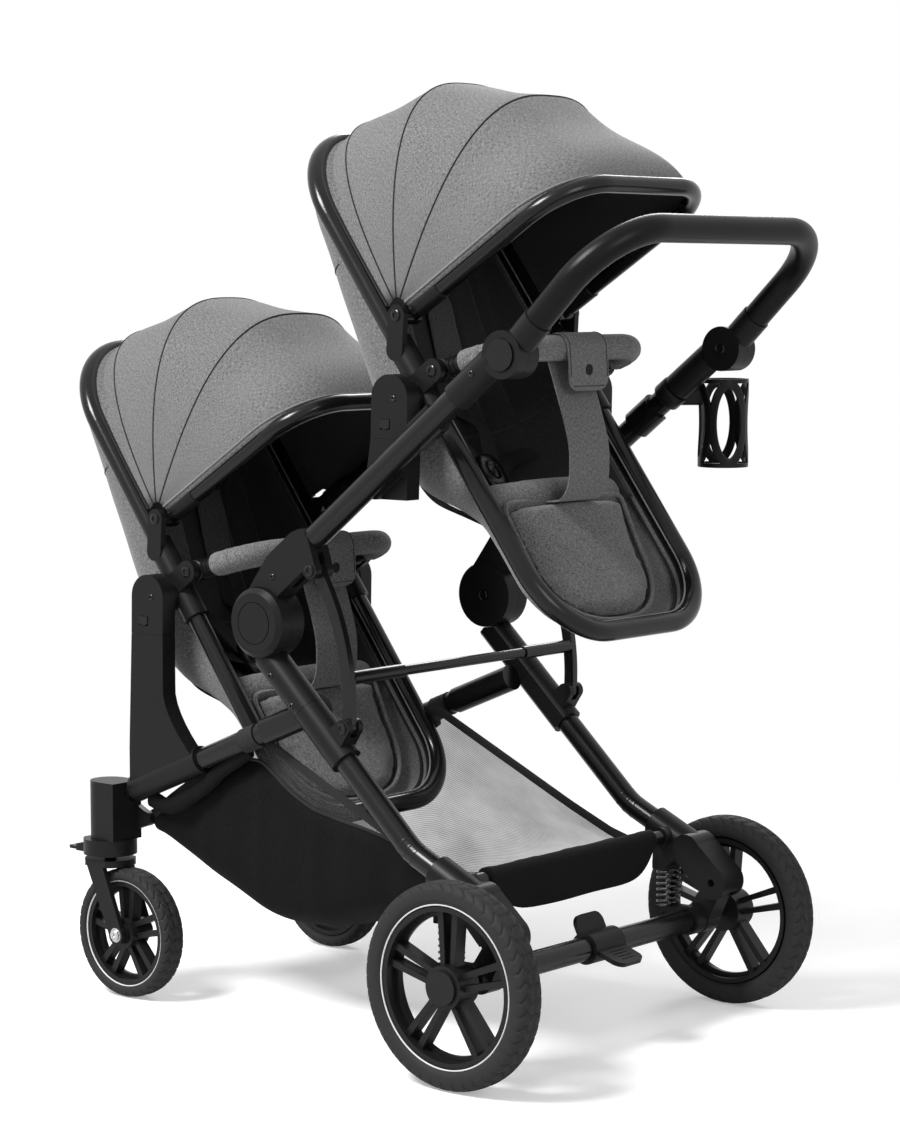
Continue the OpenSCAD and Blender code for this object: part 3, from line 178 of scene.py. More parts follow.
# marled cloth: long pale and dark fibres crossing both ways over a plain weave; it lies on the cut lengths, or
# along the leaned seat where remeshing took those away
seatLean = math.radians(36.3)
marl = {"long": 240, "fine": 1400, "through": 900, "patches": 26.0, "patchShare": 0.16, "steep": 5.0,
        "weaveShare": 0.35, "fibreShare": 1.2, "bump": 0.55, "depth": 0.0003, "roughShare": -0.12,
        "roughLift": 0.05}


def clothFinish(name, low, high, thread=0.0011, contrast=1.0, rough=0.9, sheen=0.25, gloss=0.2, remeshed=False):
    made, shader, laid = startFinish(name, "Object" if remeshed else "UV", {
        "Sheen Weight": sheen, "Sheen Roughness": 0.5, "Specular IOR Level": gloss})
    far, fine, through = marl["long"], marl["fine"], marl["through"]
    ways, second = [(far, fine, fine), (fine, far, fine)], 1
    if remeshed:
        laid = laid.node("ShaderNodeMapping", {}, {"Vector": laid, "Rotation": (-seatLean, 0, 0)})
        ways, second = [(far, through, fine), (fine, through, far)], 2
    across, along = (laid.stretch(way).noise(1.0, 3.0, 0.6) for way in ways)
    fibre, patches = (across + along) * 0.5, laid.noise(marl["patches"], 4.0, 0.6)
    mark = (fibre - 0.5) * (marl["steep"] * contrast) + (patches - 0.5) * marl["patchShare"] + 0.5
    tone, rate = mark.clamped(), tau / thread
    weave = (laid.part(0) * rate).sine() * (laid.part(second) * rate).sine()
    tone.between(low, high).into(shader, "Base Color")
    (tone * marl["roughShare"] + (rough + marl["roughLift"])).into(shader, "Roughness")
    relief = weave * marl["weaveShare"] + fibre * marl["fibreShare"]
    relief.bump(marl["bump"], marl["depth"]).into(shader, "Normal")
    return made


# see-through knitted mesh: round holes in rows, darker threads between
net = {"tone": 0.035, "dark": 0.7, "pale": 1.4, "pitch": 0.0034, "open": 0.36, "folds": (9, 3, 1), "foldShare": 0.9,
       "knit": 0.4, "knitShare": 0.35, "bump": 0.4, "depth": 0.0004}


def meshFinish(name):
    made, shader, cut = startFinish(name, "UV", {"Roughness": 0.8, "Specular IOR Level": 0.2})
    rate = tau / net["pitch"]
    knit = ((cut.part(0) * rate).sine() * (cut.part(1) * rate).sine()).size()
    folds = cut.stretch(net["folds"]).noise(1.0, 4.0, 0.6)
    thick = ((folds - 0.5) * net["foldShare"] + (1 - net["open"])).clamped()
    folds.between(net["tone"] * net["dark"], net["tone"] * net["pale"]).into(shader, "Base Color")
    (thick + (net["knit"] - knit) * net["knitShare"]).clamped().into(shader, "Alpha")
    knit.bump(net["bump"], net["depth"]).into(shader, "Normal")
    return made


satin = {"tone": 0.006, "grain": 1500.0, "depth": 0.00002, "coat": 0.04, "vary": 0.08, "gloss": 0.25}
heatherTones = (0.035, 0.228)
finishes = {
    "frame_paint": hardFinish("satin black paint", rough=0.22, **satin),
    "dark_plastic": hardFinish("grained black plastic", 0.009, 0.36, 1100.0, 0.0001, vary=0.1, gloss=0.14),
    "gloss_trim": hardFinish("smooth black trim", rough=0.2, **satin),
    "spring_steel": hardFinish("oiled spring steel", 0.16, 0.32, 700.0, 0.00003, metal=0.9, vary=0.14),
    "basket_cloth": clothFinish("black basket cloth", 0.003, 0.011, 0.0016, 0.7, 0.75, sheen=0.01, gloss=0.05),
    "grip_foam": hardFinish("stitched grip cover", 0.005, 0.34, 520.0, 0.0001, gloss=0.13),
    "tyre_rubber": hardFinish("charcoal tyre rubber", 0.016, 0.7, 600.0, 0.0002, vary=0.1, dust=0.15, gloss=0.25),
    "rim_plastic": hardFinish("black rim plastic", 0.01, 0.38, 1200.0, 0.00006, vary=0.1, gloss=0.18),
    "ring_cover": hardFinish("dark ring cover", rough=0.2, **satin),
    "heather_cloth": clothFinish("grey marled padding", *heatherTones, remeshed=True),
}
heather = clothFinish("grey marled cloth", *heatherTones)
liningCloth = clothFinish("black lining cloth", 0.012, 0.045, 0.0014, 0.7)
webbing = clothFinish("black webbing", 0.005, 0.02, 0.0022, 0.5, 0.7, sheen=0.06)
darkHeather = clothFinish("dark marled cloth", 0.03, 0.13, 0.0012, 0.9)
# pale piping for the canopy's front edge, and round the seat ring as a painted highlight
palePipingAndHighlight = clothFinish("pale piping and painted highlight", 0.1, 0.28, 0.0009, 0.6)
darkThread = clothFinish("dark seam cord", 0.006, 0.02, 0.0009, 0.6, sheen=0.04)
basketMesh = meshFinish("grey basket mesh")
brightSteel = hardFinish("bright bolt steel", 0.55, 0.26, 900.0, 0.00003, metal=1.0)
whiteRing = hardFinish("white rim line", 0.72, 0.4, 900.0, 0.00002, vary=0.1)
print("finishes made:", len(bpy.data.materials))

# the frame's own nodes take their slot's finish
slotOf = {row["node"]: row["material_slot"] for row in frame["record"]["subparts"]}
for nodeName, nodeObject in frame["nodes"].items():
    nodeObject.data.materials.clear()
    nodeObject.data.materials.append(finishes.get(slotOf.get(nodeName, ""), finishes["dark_plastic"]))


# geometry: every shape is (points in mm, quads, cut lengths) worked out as whole arrays
def unit(v):
    return v / np.maximum(np.linalg.norm(v, axis=-1, keepdims=True), 1e-12)


def points(*parts):
    return np.stack(np.broadcast_arrays(*parts), -1)


def circle(steps):
    return np.arange(steps) * (tau / steps)


# sgn(v) |v|^(2/p), which squares off a sine or cosine
def squared(v, power):
    return np.sign(v) * np.abs(v) ** (2 / power)


# from 0 to 1 over a round edge: (1 - (1 - e)^p)^(1/p)
def rounded(edge, power=2.0):
    return np.clip(1 - (1 - np.clip(edge, 0, 1)) ** power, 0, 1) ** (1 / power)


def bell(x, width):
    return np.exp(-(x / width) ** 2)


# a place at some reach from (n, u) in the plane across x
def around(x, n, u, reach, angle):
    return points(x, n + reach * np.cos(angle), u + reach * np.sin(angle))


# lengths along a path, or the mean lengths along a grid
def runs(pts, axis=0):
    steps = np.linalg.norm(np.diff(pts, axis=axis), axis=-1)
    return np.concatenate([[0], np.cumsum(steps.mean(1 - axis) if steps.ndim == 2 else steps)])


# a grid P(a, b): quads between neighbours; the cut runs along the mean lines both ways
def gridGeo(pts, wrapA=False, wrapB=False):
    na, nb = pts.shape[:2]
    i, j = np.meshgrid(np.arange(na if wrapA else na - 1), np.arange(nb if wrapB else nb - 1), indexing="ij")
    corners = [(i, j), (i + 1, j), (i + 1, j + 1), (i, j + 1)]
    quads = np.stack([(p % na) * nb + q % nb for p, q in corners], -1).reshape(-1, 4)
    full = np.concatenate([pts, pts[:1]]) if wrapA else pts
    full = np.concatenate([full, full[:, :1]], 1) if wrapB else full
    runA, runB = runs(full), runs(full, 1)
    cut = np.stack([points(runB[q], runA[p]) for p, q in corners], -2).reshape(-1, 4, 2)
    return pts.reshape(-1, 3), quads, cut


# a profile carried along a path: path + side * x + lift * y, side = tangent x up, lift = side x tangent
def sweepGeo(path, profile, up, closed=False, swell=None):
    path = np.asarray(path, float)
    ahead = np.roll(path, -1, 0) - np.roll(path, 1, 0)
    if not closed:
        ahead[0], ahead[-1] = path[1] - path[0], path[-1] - path[-2]
    tangent = unit(ahead)
    side = unit(np.cross(tangent, np.broadcast_to(np.asarray(up, float), path.shape)))
    lift = np.cross(side, tangent)
    size = (np.ones(len(path)) if swell is None else np.asarray(swell))[:, None, None]
    pts = path[:, None] + size * (side[:, None] * profile[None, :, :1] + lift[:, None] * profile[None, :, 1:])
    if not closed:  # both ends drawn to a point
        ends = [np.repeat(path[k, None, None], len(profile), 1) for k in (0, -1)]
        pts = np.concatenate([ends[0], pts, ends[1]])
    return gridGeo(pts, wrapA=closed, wrapB=True)


# a ring of points: x = a sgn(cos)|cos|^(2/p), y = b sgn(sin)|sin|^(2/p)
def ovalProfile(a, b, steps=16, power=2.0):
    t = circle(steps)
    return points(a * squared(np.cos(t), power), b * squared(np.sin(t), power))


def roundProfile(r, steps=10):
    return ovalProfile(r, r, steps)


# a turned head: each (radius, height) of its profile carried round an axis
def latheGeo(at, axis, profile, steps):
    axis, profile = unit(np.asarray(axis, float)), np.asarray(profile, float)
    first = unit(np.cross(axis, [0.3, 0.5, 0.81]))
    t = circle(steps)[:, None]
    spin = np.cos(t) * first + np.sin(t) * np.cross(axis, first)
    pts = np.asarray(at, float) + profile[:, 1, None, None] * axis + profile[:, 0, None, None] * spin[None]
    return gridGeo(pts, wrapB=True)


# a smooth path through a few points: each span a cubic whose end slopes are half the step between neighbours
def curve(through, count):
    p = np.asarray(through, float)
    ext = np.concatenate([2 * p[:1] - p[1:2], p, 2 * p[-1:] - p[-2:-1]])
    spans = len(ext) - 3
    t = np.linspace(0, spans, count)
    k = np.minimum(t.astype(int), spans - 1)
    f = (t - k)[:, None]
    a, b, c, d = ext[k], ext[k + 1], ext[k + 2], ext[k + 3]
    return 0.5 * (2 * b + (c - a) * f + (2 * a - 5 * b + 4 * c - d) * f ** 2 + (3 * b - a - 3 * c + d) * f ** 3)


# the same path with even steps
def evenly(path, count, closed=False):
    full = np.concatenate([path, path[:1]]) if closed else path
    run = runs(full)
    at = np.linspace(0, run[-1], count, endpoint=not closed)
    return np.stack([np.interp(at, run, full[:, k]) for k in range(full.shape[1])], -1)


# a table read smoothly: straight lines between rows, then a running mean over width
def eased(x, xs, ys, width):
    fine = np.linspace(xs[0] - 2 * width, xs[-1] + 2 * width, 801)
    reach = max(int(width / (fine[1] - fine[0])), 1)
    window = np.hanning(2 * reach + 1)
    flat = np.pad(np.interp(fine, xs, ys), reach, mode="edge")
    return np.interp(x, fine, np.convolve(flat, window / window.sum(), mode="valid"))


# a U: straight leg, bend, crossbar, bend, leg, in the plane of (across, out)
def bowPath(half, reach, bend, count):
    t = np.linspace(0, quarter, 24)
    left = points(-half + bend - bend * np.cos(t), reach - bend + bend * np.sin(t))
    return evenly(np.concatenate([[[-half, 0.0]], left, (left * [-1, 1])[::-1], [[half, 0.0]]]), count)


# shapes in mm become one object in metres, in its slot's finish unless another is given
def makePiece(name, geos, slotName, body, finish=None, sharp=40.0, closed=True):
    starts = np.cumsum([0] + [len(g[0]) for g in geos])
    mesh = bpy.data.meshes.new(name)
    mesh.from_pydata((np.concatenate([g[0] for g in geos]) * mm).tolist(), [],
                     np.concatenate([g[1] + k for g, k in zip(geos, starts)]).tolist())
    cut = np.concatenate([g[2] for g in geos]) * mm
    mesh.uv_layers.new(name="cut").data.foreach_set("uv", cut.reshape(-1))
    work = bmesh.new()
    work.from_mesh(mesh)
    bmesh.ops.remove_doubles(work, verts=work.verts, dist=2e-6)
    bmesh.ops.dissolve_degenerate(work, edges=work.edges, dist=1e-7)
    if closed:
        bmesh.ops.recalc_face_normals(work, faces=work.faces)
    work.to_mesh(mesh)
    work.free()
    mesh.polygons.foreach_set("use_smooth", np.ones(len(mesh.polygons), bool))
    mesh.set_sharp_from_angle(angle=math.radians(sharp))
    mesh.materials.append(finish or finishes[slotName])
    made = bpy.data.objects.new(name, mesh)
    scene.collection.objects.link(made)
    if body:
        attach(made, body)
    return made


def thicken(made, thickness, offset):
    wall = made.modifiers.new("wall", "SOLIDIFY")
    wall.thickness, wall.offset = thickness * mm, offset
    return made


# seats: (across, out, up) in mm about the seat's own pivot, leaned back and placed
seatSpots = {"upper": (145.4, 810.0), "lower": (-277.1, 539.5)}
leanCos, leanSin = math.cos(seatLean), math.sin(seatLean)


def seatPlace(which, p):
    y, z = seatSpots[which]
    return points(p[..., 0], y + p[..., 1] * leanCos - p[..., 2] * leanSin,
                  z + p[..., 1] * leanSin + p[..., 2] * leanCos)


# seat shell: hammock of U sections, x = w t, n = rim - depth (1 - |t|^p)^(1/p), closed up at both ends
shell = {
    "rim": 3.0, "half": 152.6, "depth": 124.0, "low": -346.5, "high": 375.5, "power": 3.4, "soften": 0.035,
    "ringHalf": 158.0, "ringLow": -357.0, "ringHigh": 386.0, "footBend": 95.0, "topBend": 120.0, "cornerIn": 8.5,
    "uShares": [0, .03, .09, .17, .235, .3, .36, .41, .463, .56, .66, .76, .86, .93, .97, 1],
    "dShares": [.1, .2, .27, .27, .31, .56, .86, .99, 1, .85, .68, .5, .31, .2, .14, .08],
    "slack": 1.6, "waves": (23.0, 31.0, 60.0), "thick": 2.6,
}


# the ring's line moved in by inset: four arcs, one bend radius at each end
def ringLine(inset, footBend, topBend, count):
    half, low, high = shell["ringHalf"] - inset, shell["ringLow"] + inset, shell["ringHigh"] - inset
    t = np.linspace(0, quarter, 24)
    arcs = [(-half + footBend, low + footBend, footBend, 2), (half - footBend, low + footBend, footBend, 3),
            (half - topBend, high - topBend, topBend, 0), (-half + topBend, high - topBend, topBend, 1)]
    pts = [points(x + r * np.cos(t + k * quarter), y + r * np.sin(t + k * quarter)) for x, y, r, k in arcs]
    return evenly(np.concatenate(pts), count, True)


def shellHalf(u):
    def corner(bend, past):
        return shell["ringHalf"] - bend + np.sqrt(np.maximum((bend - shell["cornerIn"]) ** 2 - past ** 2, 0))
    foot = corner(shell["footBend"], np.maximum(shell["ringLow"] + shell["footBend"] - u, 0))
    top = corner(shell["topBend"], np.maximum(u - shell["ringHigh"] + shell["topBend"], 0))
    return np.minimum(shell["half"], np.minimum(foot, top))


def shellDepth(u):
    share = (u - shell["low"]) / (shell["high"] - shell["low"])
    return shell["depth"] * eased(share, shell["uShares"], shell["dShares"], shell["soften"])


# the shell's outer skin at a place across and up, lifted off it by inset
def shellN(x, u, inset=0.0):
    t = np.clip(np.abs(x) / np.maximum(shellHalf(u) - inset, 1.0), 0, 1)
    return shell["rim"] - np.maximum(shellDepth(u) - inset, 0) * (1 - t ** shell["power"]) ** (1 / shell["power"])


# gentle slack between the seams
def shellSlack(x, u):
    up, over, lean = shell["waves"]
    return shell["slack"] * np.sin(u / up) * np.sin(x / over + u / lean)


def shellGeo(rows=120, steps=72):
    ends = [[shell["low"]], [shell["high"]]]
    u = np.concatenate([ends[0], np.linspace(shell["low"], shell["high"], rows), ends[1]])[:, None]
    phi = np.linspace(-quarter, quarter, steps)
    drop, deep = np.cos(phi) ** (2 / shell["power"]), shellDepth(u)
    drop[[0, -1]] = deep[[0, -1]] = 0
    x = shellHalf(u) * squared(np.sin(phi), shell["power"])
    n = shell["rim"] - (deep + shellSlack(x, u) * drop * (deep > 0)) * drop
    return gridGeo(points(x, n, u))


# seam round the shell's outer skin at one height
shellSeam = {"at": 214.0, "to": 1.42, "lift": 0.3, "a": 0.7, "b": 1.1}


def shellSeamGeo():
    u = np.full(140, shellSeam["at"])
    phi = np.linspace(-shellSeam["to"], shellSeam["to"], 140)
    x = shellHalf(u) * squared(np.sin(phi), shell["power"])
    out = shellDepth(u) + shellSlack(x, u) + shellSeam["lift"]
    n = shell["rim"] - out * np.cos(phi) ** (2 / shell["power"])
    return sweepGeo(points(x, n, u), ovalProfile(shellSeam["a"], shellSeam["b"], 8), (0, 0, 1))


print("helpers ready")

# lining: a padded skin inside the shell, sewn in upright channels behind the back
lining = {"low": -166.0, "high": 367.0, "wall": 4.5, "pad": 8.0, "channel": 40.0, "groove": 5.0, "round": 14.0,
          "stitch": 3.4, "backFrom": 30.0, "backOver": 14.0, "crossAt": (8.0, 250.0), "crossWide": 4.0}


def liningPuff(u):
    return rounded(np.minimum(u - lining["low"], lining["high"] - u) / lining["round"])


def liningTop(x, u):
    puff, lane = liningPuff(u), x / lining["channel"]
    back = 1 / (1 + np.exp(-(u - lining["backFrom"]) / lining["backOver"]))
    sewn = bell((lane - np.round(lane)) * lining["channel"], lining["stitch"])
    cross = sum(bell(u - at, lining["crossWide"]) for at in lining["crossAt"])
    thick = lining["pad"] * puff - lining["groove"] * np.clip(sewn * back + cross, 0, 1) * puff
    return shellN(x, u, lining["wall"] + np.maximum(thick, 0.0))


def liningGeo(rows=170, steps=110):
    u = np.linspace(lining["low"], lining["high"], rows)[:, None]
    t = squared(np.sin(np.linspace(-quarter, quarter, steps)), shell["power"])[None]
    xLow = (shellHalf(u) - lining["wall"]) * t[:, ::-1]
    xTop = (shellHalf(u) - lining["wall"] - lining["pad"] * liningPuff(u)) * t
    top, low = points(xTop, liningTop(xTop, u), u), points(xLow, shellN(xLow, u, lining["wall"]), u)
    both = np.concatenate([top, low], 1)
    both = np.concatenate([both[:1], both, both[-1:]])
    for end in (0, -1):  # the end rows close the skin
        both[end, :steps] = both[end, steps:][::-1]
    return gridGeo(both, wrapB=True)


# foot pad: rounded apron, x = w cos^(2/p), n = mid + t/2 sin^(2/p); w closes in an arc at the foot end
footPad = {"low": -334.0, "high": -163.0, "half": 110.0, "kneeHalf": 120.0, "thick": 17.0, "lowN": -9.0,
           "kneeN": 6.0, "cap": 5.0, "shrink": 1.5, "shrinkUp": 0.3, "footArc": 0.52, "footPower": 2.3,
           "kneeArc": 0.1, "kneePower": 2.6, "kneeIn": 0.14, "bend": 2.2, "sag": 5.0, "endArc": 0.09,
           "sidePower": 2.5, "crown": 0.9, "under": 0.5, "rimFade": 3}


def padOutline(b):
    half = footPad["half"] + (footPad["kneeHalf"] - footPad["half"]) * b ** 2
    arc = rounded(b / footPad["footArc"], footPad["footPower"])
    top = rounded((1 - b) / footPad["kneeArc"], footPad["kneePower"])
    return half * arc * (1 - footPad["kneeIn"] + footPad["kneeIn"] * top)


def padPoint(x, b, rise):
    mid = footPad["lowN"] + (footPad["kneeN"] - footPad["lowN"]) * b ** footPad["bend"]
    n = mid - footPad["sag"] * (x / footPad["kneeHalf"]) ** 2 + rise
    return points(x, n, footPad["low"] + (footPad["high"] - footPad["low"]) * b)


def padGeo(rows=64, steps=64):
    b = (0.5 - 0.5 * np.cos(np.linspace(0, math.pi, rows)))[:, None]
    phi = circle(steps)[None]
    x = np.maximum(padOutline(b) - footPad["shrink"], 0) * squared(np.cos(phi), footPad["sidePower"])
    thick = footPad["thick"] / 2 - footPad["shrink"] * footPad["shrinkUp"]
    rise = np.sign(np.sin(phi)) * np.abs(np.sin(phi)) ** footPad["crown"] * thick
    rise = rise * rounded(np.minimum(b, 1 - b) / footPad["endArc"])
    return gridGeo(padPoint(x, b, np.where(rise > 0, rise, rise * footPad["under"])), wrapB=True)


# a line round the pad's edge, moved out and up from it
def padRim(out, lift):
    b = np.linspace(0, 1, 90)
    half = padOutline(b)
    loop = np.concatenate([points(half, b), points(-half, b)[::-1]])
    loop = loop[np.concatenate([[True], np.linalg.norm(np.diff(loop, axis=0), axis=1) > 1e-6])]
    rim = padPoint(loop[:, 0] * (1 + out / footPad["half"]), loop[:, 1], lift)
    rim[:, 2] -= out * np.clip(1 - loop[:, 1] * footPad["rimFade"], 0, 1)
    return evenly(rim, 220)


# swells a closed pad as stuffed cloth does: voxel remesh, cloth pressure with no weight, moves capped in mm
stuffing = {"voxel": 0.0045, "pressure": 4.0, "frames": 20, "quality": 5, "mass": 0.3, "stiff": 15,
            "smooth": (0.5, 7)}


def meshPoints(mesh):
    co = np.empty(len(mesh.vertices) * 3, np.float32)
    mesh.vertices.foreach_get("co", co)
    return co.reshape(-1, 3)


# the object's mesh with its modifiers applied, which are then taken off
def applied(made):
    mesh = bpy.data.meshes.new_from_object(made.evaluated_get(bpy.context.evaluated_depsgraph_get()))
    made.modifiers.clear()
    return mesh


def puffUp(made, cap):
    remesh, mesh = made.modifiers.new("remesh", "REMESH"), made.data
    remesh.mode, remesh.voxel_size, remesh.use_smooth_shade = "VOXEL", stuffing["voxel"], True
    base = made.data = applied(made)
    bpy.data.meshes.remove(mesh)
    cloth = made.modifiers.new("stuffing", "CLOTH")
    rules = cloth.settings
    rules.quality, rules.mass = stuffing["quality"], stuffing["mass"]
    rules.use_pressure, rules.uniform_pressure_force = True, stuffing["pressure"]
    rules.tension_stiffness = rules.compression_stiffness = stuffing["stiff"]
    rules.effector_weights.gravity = 0
    cloth.collision_settings.use_collision = False
    for step in range(1, stuffing["frames"] + 1):
        scene.frame_set(step)
    blown, rest = applied(made), meshPoints(base)
    move = meshPoints(blown) - rest
    far = np.linalg.norm(move, axis=1, keepdims=True)
    capped = rest + move * np.minimum(1, cap * mm / np.maximum(far, 1e-9))
    base.vertices.foreach_set("co", capped.reshape(-1))
    bpy.data.meshes.remove(blown)
    scene.frame_set(1)
    base.update()
    even = made.modifiers.new("even", "SMOOTH")
    even.factor, even.iterations = stuffing["smooth"]
    finer = made.modifiers.new("finer", "SUBSURF")
    finer.levels = finer.render_levels = 1


# knee roll: stuffed edge of the seat where the apron starts
kneeRoll = {"n": -3.0, "u": -150.0, "half": 128.0, "a": 17.0, "b": 21.0, "power": 2.3, "sag": 8.0, "cap": 3.0,
            "endPower": 6, "endRoot": 3, "least": 0.02}


def kneeGeo(rows=70, steps=36):
    s = np.linspace(-1, 1, rows)
    x = kneeRoll["half"] * np.sin(s * quarter)
    swell = np.clip(1 - np.abs(s) ** kneeRoll["endPower"], 0, 1) ** (1 / kneeRoll["endRoot"])
    path = points(x, kneeRoll["n"] - kneeRoll["sag"] * (x / kneeRoll["half"]) ** 2, kneeRoll["u"])
    profile = ovalProfile(kneeRoll["b"], kneeRoll["a"], steps, kneeRoll["power"])
    return sweepGeo(path, profile, (0, 1, 0), swell=np.maximum(swell, kneeRoll["least"]))


# canopy: fan of arched rows about its pivot line; d = R sin^(2/p), x = W cos^(2/p); flat chords between the ribs
fan = {"n": 41.0, "u": 105.4, "radius": 282.0, "from": -3.8, "to": 92.9, "half": 165.0, "power": 2.7, "root": 12.5,
       "ease": 45.0, "easeOver": 90.0, "sag": 0.010, "sagFrom": 0.1, "ringN": 24.5, "bowHalf": 161.5,
       "bowReach": 289.0, "bowBend": 86.0, "bowShare": 0.2, "ribs": np.array([0.0, 0.36, 0.65, 0.93, 1.0]),
       "tuck": (0.0, 1.5, -7.0), "thick": 1.6, "inside": -3.4, "skirtLift": 1.0, "skirtFrom": -40.0}
fanStart, fanSpread = math.radians(fan["from"]), math.radians(fan["to"] - fan["from"])
bowLine = bowPath(fan["bowHalf"], fan["bowReach"], fan["bowBend"], 400)[::-1]


# a line about a centre as reach by angle
def byAngle(line, angle):
    turn = np.arctan2(line[:, 1], line[:, 0])
    order = np.argsort(turn)
    return np.interp(angle, turn[order], np.linalg.norm(line, axis=1)[order])


def fanPoint(share, phi, lift=0.0):
    ribs = fan["ribs"]
    k = np.clip(np.searchsorted(ribs, share, side="right") - 1, 0, len(ribs) - 2)
    mid, wide = (ribs[k] + ribs[k + 1]) / 2, (ribs[k + 1] - ribs[k]) / 2
    chord = np.cos(wide * fanSpread) / np.cos((share - mid) * fanSpread)
    place = np.clip((share - mid) / wide, -1, 1)
    slack = 1 - fan["sag"] * np.cos(place * quarter) ** 2 * (wide > fan["sagFrom"])
    d = (fan["radius"] + lift) * np.sin(phi) ** (2 / fan["power"])
    d = d * (1 + (chord * slack - 1) * np.clip((d - fan["ease"]) / fan["easeOver"], 0, 1))
    x = (fan["half"] + lift) * squared(np.cos(phi), fan["power"])
    # towards the front the arch swells to the rounded U of the bow, measured along the same ray
    turn, reach = np.arctan2(d, x), np.hypot(d, x)
    reach = reach + (byAngle(bowLine, turn) + lift - reach) * bell(share, fan["bowShare"])
    return around(reach * np.cos(turn), fan["n"], fan["u"], reach * np.sin(turn), fanStart + share * fanSpread)


def fanRow(share, lift=0.0, steps=120):
    first = math.asin((fan["root"] / fan["radius"]) ** (fan["power"] / 2))
    return fanPoint(share, np.linspace(first, math.pi - first, steps), lift)


# behind the last rib the cloth drops to the seat ring: each point slides out to the ring at its own angle
def fanSkirt(last, lift, rows):
    ring = ringLine(0.0, shell["footBend"], shell["topBend"], 600) - [0, fan["u"]]
    angle = np.arctan2(last[:, 2] - fan["u"], last[:, 0])
    reach = byAngle(ring[ring[:, 1] > fan["skirtFrom"]], angle) + fan["skirtLift"] + lift
    foot = points(reach * np.cos(angle), fan["ringN"], fan["u"] + reach * np.sin(angle))
    k = np.linspace(0, 1, rows + 1)[1:, None, None]
    return last[None] * (1 - k) + foot[None] * k


def fanGeo(lift, tuck, rows=97, steps=81):
    pts = fanRow(np.linspace(0, 1, rows)[:, None] + np.zeros(steps), lift, steps)
    pts = np.concatenate([pts, fanSkirt(pts[-1], lift, 6)])
    if tuck:  # the front edge turns down over the bow
        pts = np.concatenate([pts[:1] + np.array(fan["tuck"]), pts])
    return gridGeo(pts)


# across a plane that is turned by an angle: its normal
def upFrom(angle):
    return np.array([0.0, -math.sin(angle), math.cos(angle)])


# bumper bar: stuffed cover on a U, ribbed plastic ends and a stitched band at each end
bumper = {"n": 47.5, "u": 6.3, "angle": math.radians(-19.0), "half": 149.5, "reach": 90.0, "bend": 62.0, "r": 15.6,
          "start": 27.0, "endR": 12.4, "endIn": 6.0, "round": 7.0, "least": 0.55, "ripple": (0.012, 190.0, 60.0),
          "bands": (14, -15), "ribs": 9, "ribShare": 0.06, "eye": (139.5, 140.5, 158.5, 159.8), "eyeR": 14.6}
bumperUp = upFrom(bumper["angle"])


def bumperPoint(flat):
    return around(flat[:, 0], bumper["n"], bumper["u"], flat[:, 1], bumper["angle"])


def bumperParts():
    flat = bowPath(bumper["half"], bumper["reach"], bumper["bend"], 241)
    run, start = runs(flat), bumper["start"]
    covered = bumperPoint(flat[(run >= start) & (run <= run[-1] - start)])
    s = np.linspace(0, 1, len(covered))
    near = np.minimum(s, 1 - s) * run[-1]
    high, rate, within = bumper["ripple"]
    swell = rounded(near / bumper["round"]) * (1 + high * np.sin(s * rate) * (near < within))
    cover = sweepGeo(covered, roundProfile(bumper["r"], 40), bumperUp, swell=np.maximum(swell, bumper["least"]))
    seam = [sweepGeo(covered[6:-6] - bumperUp * (bumper["r"] + 0.2), ovalProfile(1.5, 0.9, 8), bumperUp)]
    for k in bumper["bands"]:
        strip = covered[k - 1:k + 2] if k > 0 else covered[k - 2:k + 1]
        seam.append(sweepGeo(strip, roundProfile(bumper["r"] + 0.5, 40), bumperUp))
    reach, ends = start + bumper["endIn"], []
    rib = 1 + bumper["ribShare"] * np.sign(np.sin(np.linspace(0, bumper["ribs"] * math.pi, 60)))
    for part in (flat[run <= reach], flat[run >= run[-1] - reach]):
        ends.append(sweepGeo(bumperPoint(evenly(part, 60)), roundProfile(bumper["endR"], 32), bumperUp, swell=rib))
    for side in (-1, 1):  # the eye that turns on the seat's pin
        path = points(np.array(bumper["eye"]) * side, bumper["n"], bumper["u"])
        ends.append(sweepGeo(path, roundProfile(bumper["eyeR"], 40), (0, 0, 1), swell=[0.9, 1, 1, 0.9]))
    return cover, seam, ends


# crotch strap: flat band from the knee seam up to the bar, round it, and a flap down its front
strap = {"half": 40.0, "flap": 53.0, "corner": 17.0, "thick": 2.4, "off": 2.0, "wrap": (163, -36),
         "wave": (2.0, 22.0), "edge": 3.4, "flapEdge": 9.0, "stitch": (0.35, 0.6), "proud": 0.15,
         "foot": (0.0, 5.0, -160.0), "under": (0.0, -10.0, -14.0),
         "rise": [(92.0, -134.0), (106.0, -130.0), (126.0, -127.0), (138.0, -112.0), (142.0, -86.0),
                  (137.0, -44.0)],
         "eyelet": [[0.01, 0.1], [4.2, 0.1], [4.5, 0.8], [6.2, 0.9], [7.0, 0.3], [7.1, -0.6]]}
barAt = around(0.0, bumper["n"], bumper["u"], bumper["reach"], bumper["angle"])


def strapPath():
    t = np.radians(np.linspace(*strap["wrap"], 26))
    wrap = around(0.0, *barAt[1:], bumper["r"] + strap["off"], t)[:, 1:]
    # the rise is given as steps back and up from the seat's pivot, turned into the leaned axes
    rise = [(y * leanCos + z * leanSin, z * leanCos - y * leanSin) for y, z in strap["rise"]]
    rise = curve(rise + [tuple(wrap[0])], 50)[:-1]
    hang = np.linspace(0, 1, 20)[1:, None] * strap["flap"]  # the flap hangs straight down
    high, long = strap["wave"]
    tail = wrap[-1] + hang * [-leanSin, -leanCos] + high * np.sin(hang / long) * [leanCos, -leanSin]
    flat = np.concatenate([rise, wrap, tail])
    return evenly(points(0.0, flat[:, 0], flat[:, 1]), 120)


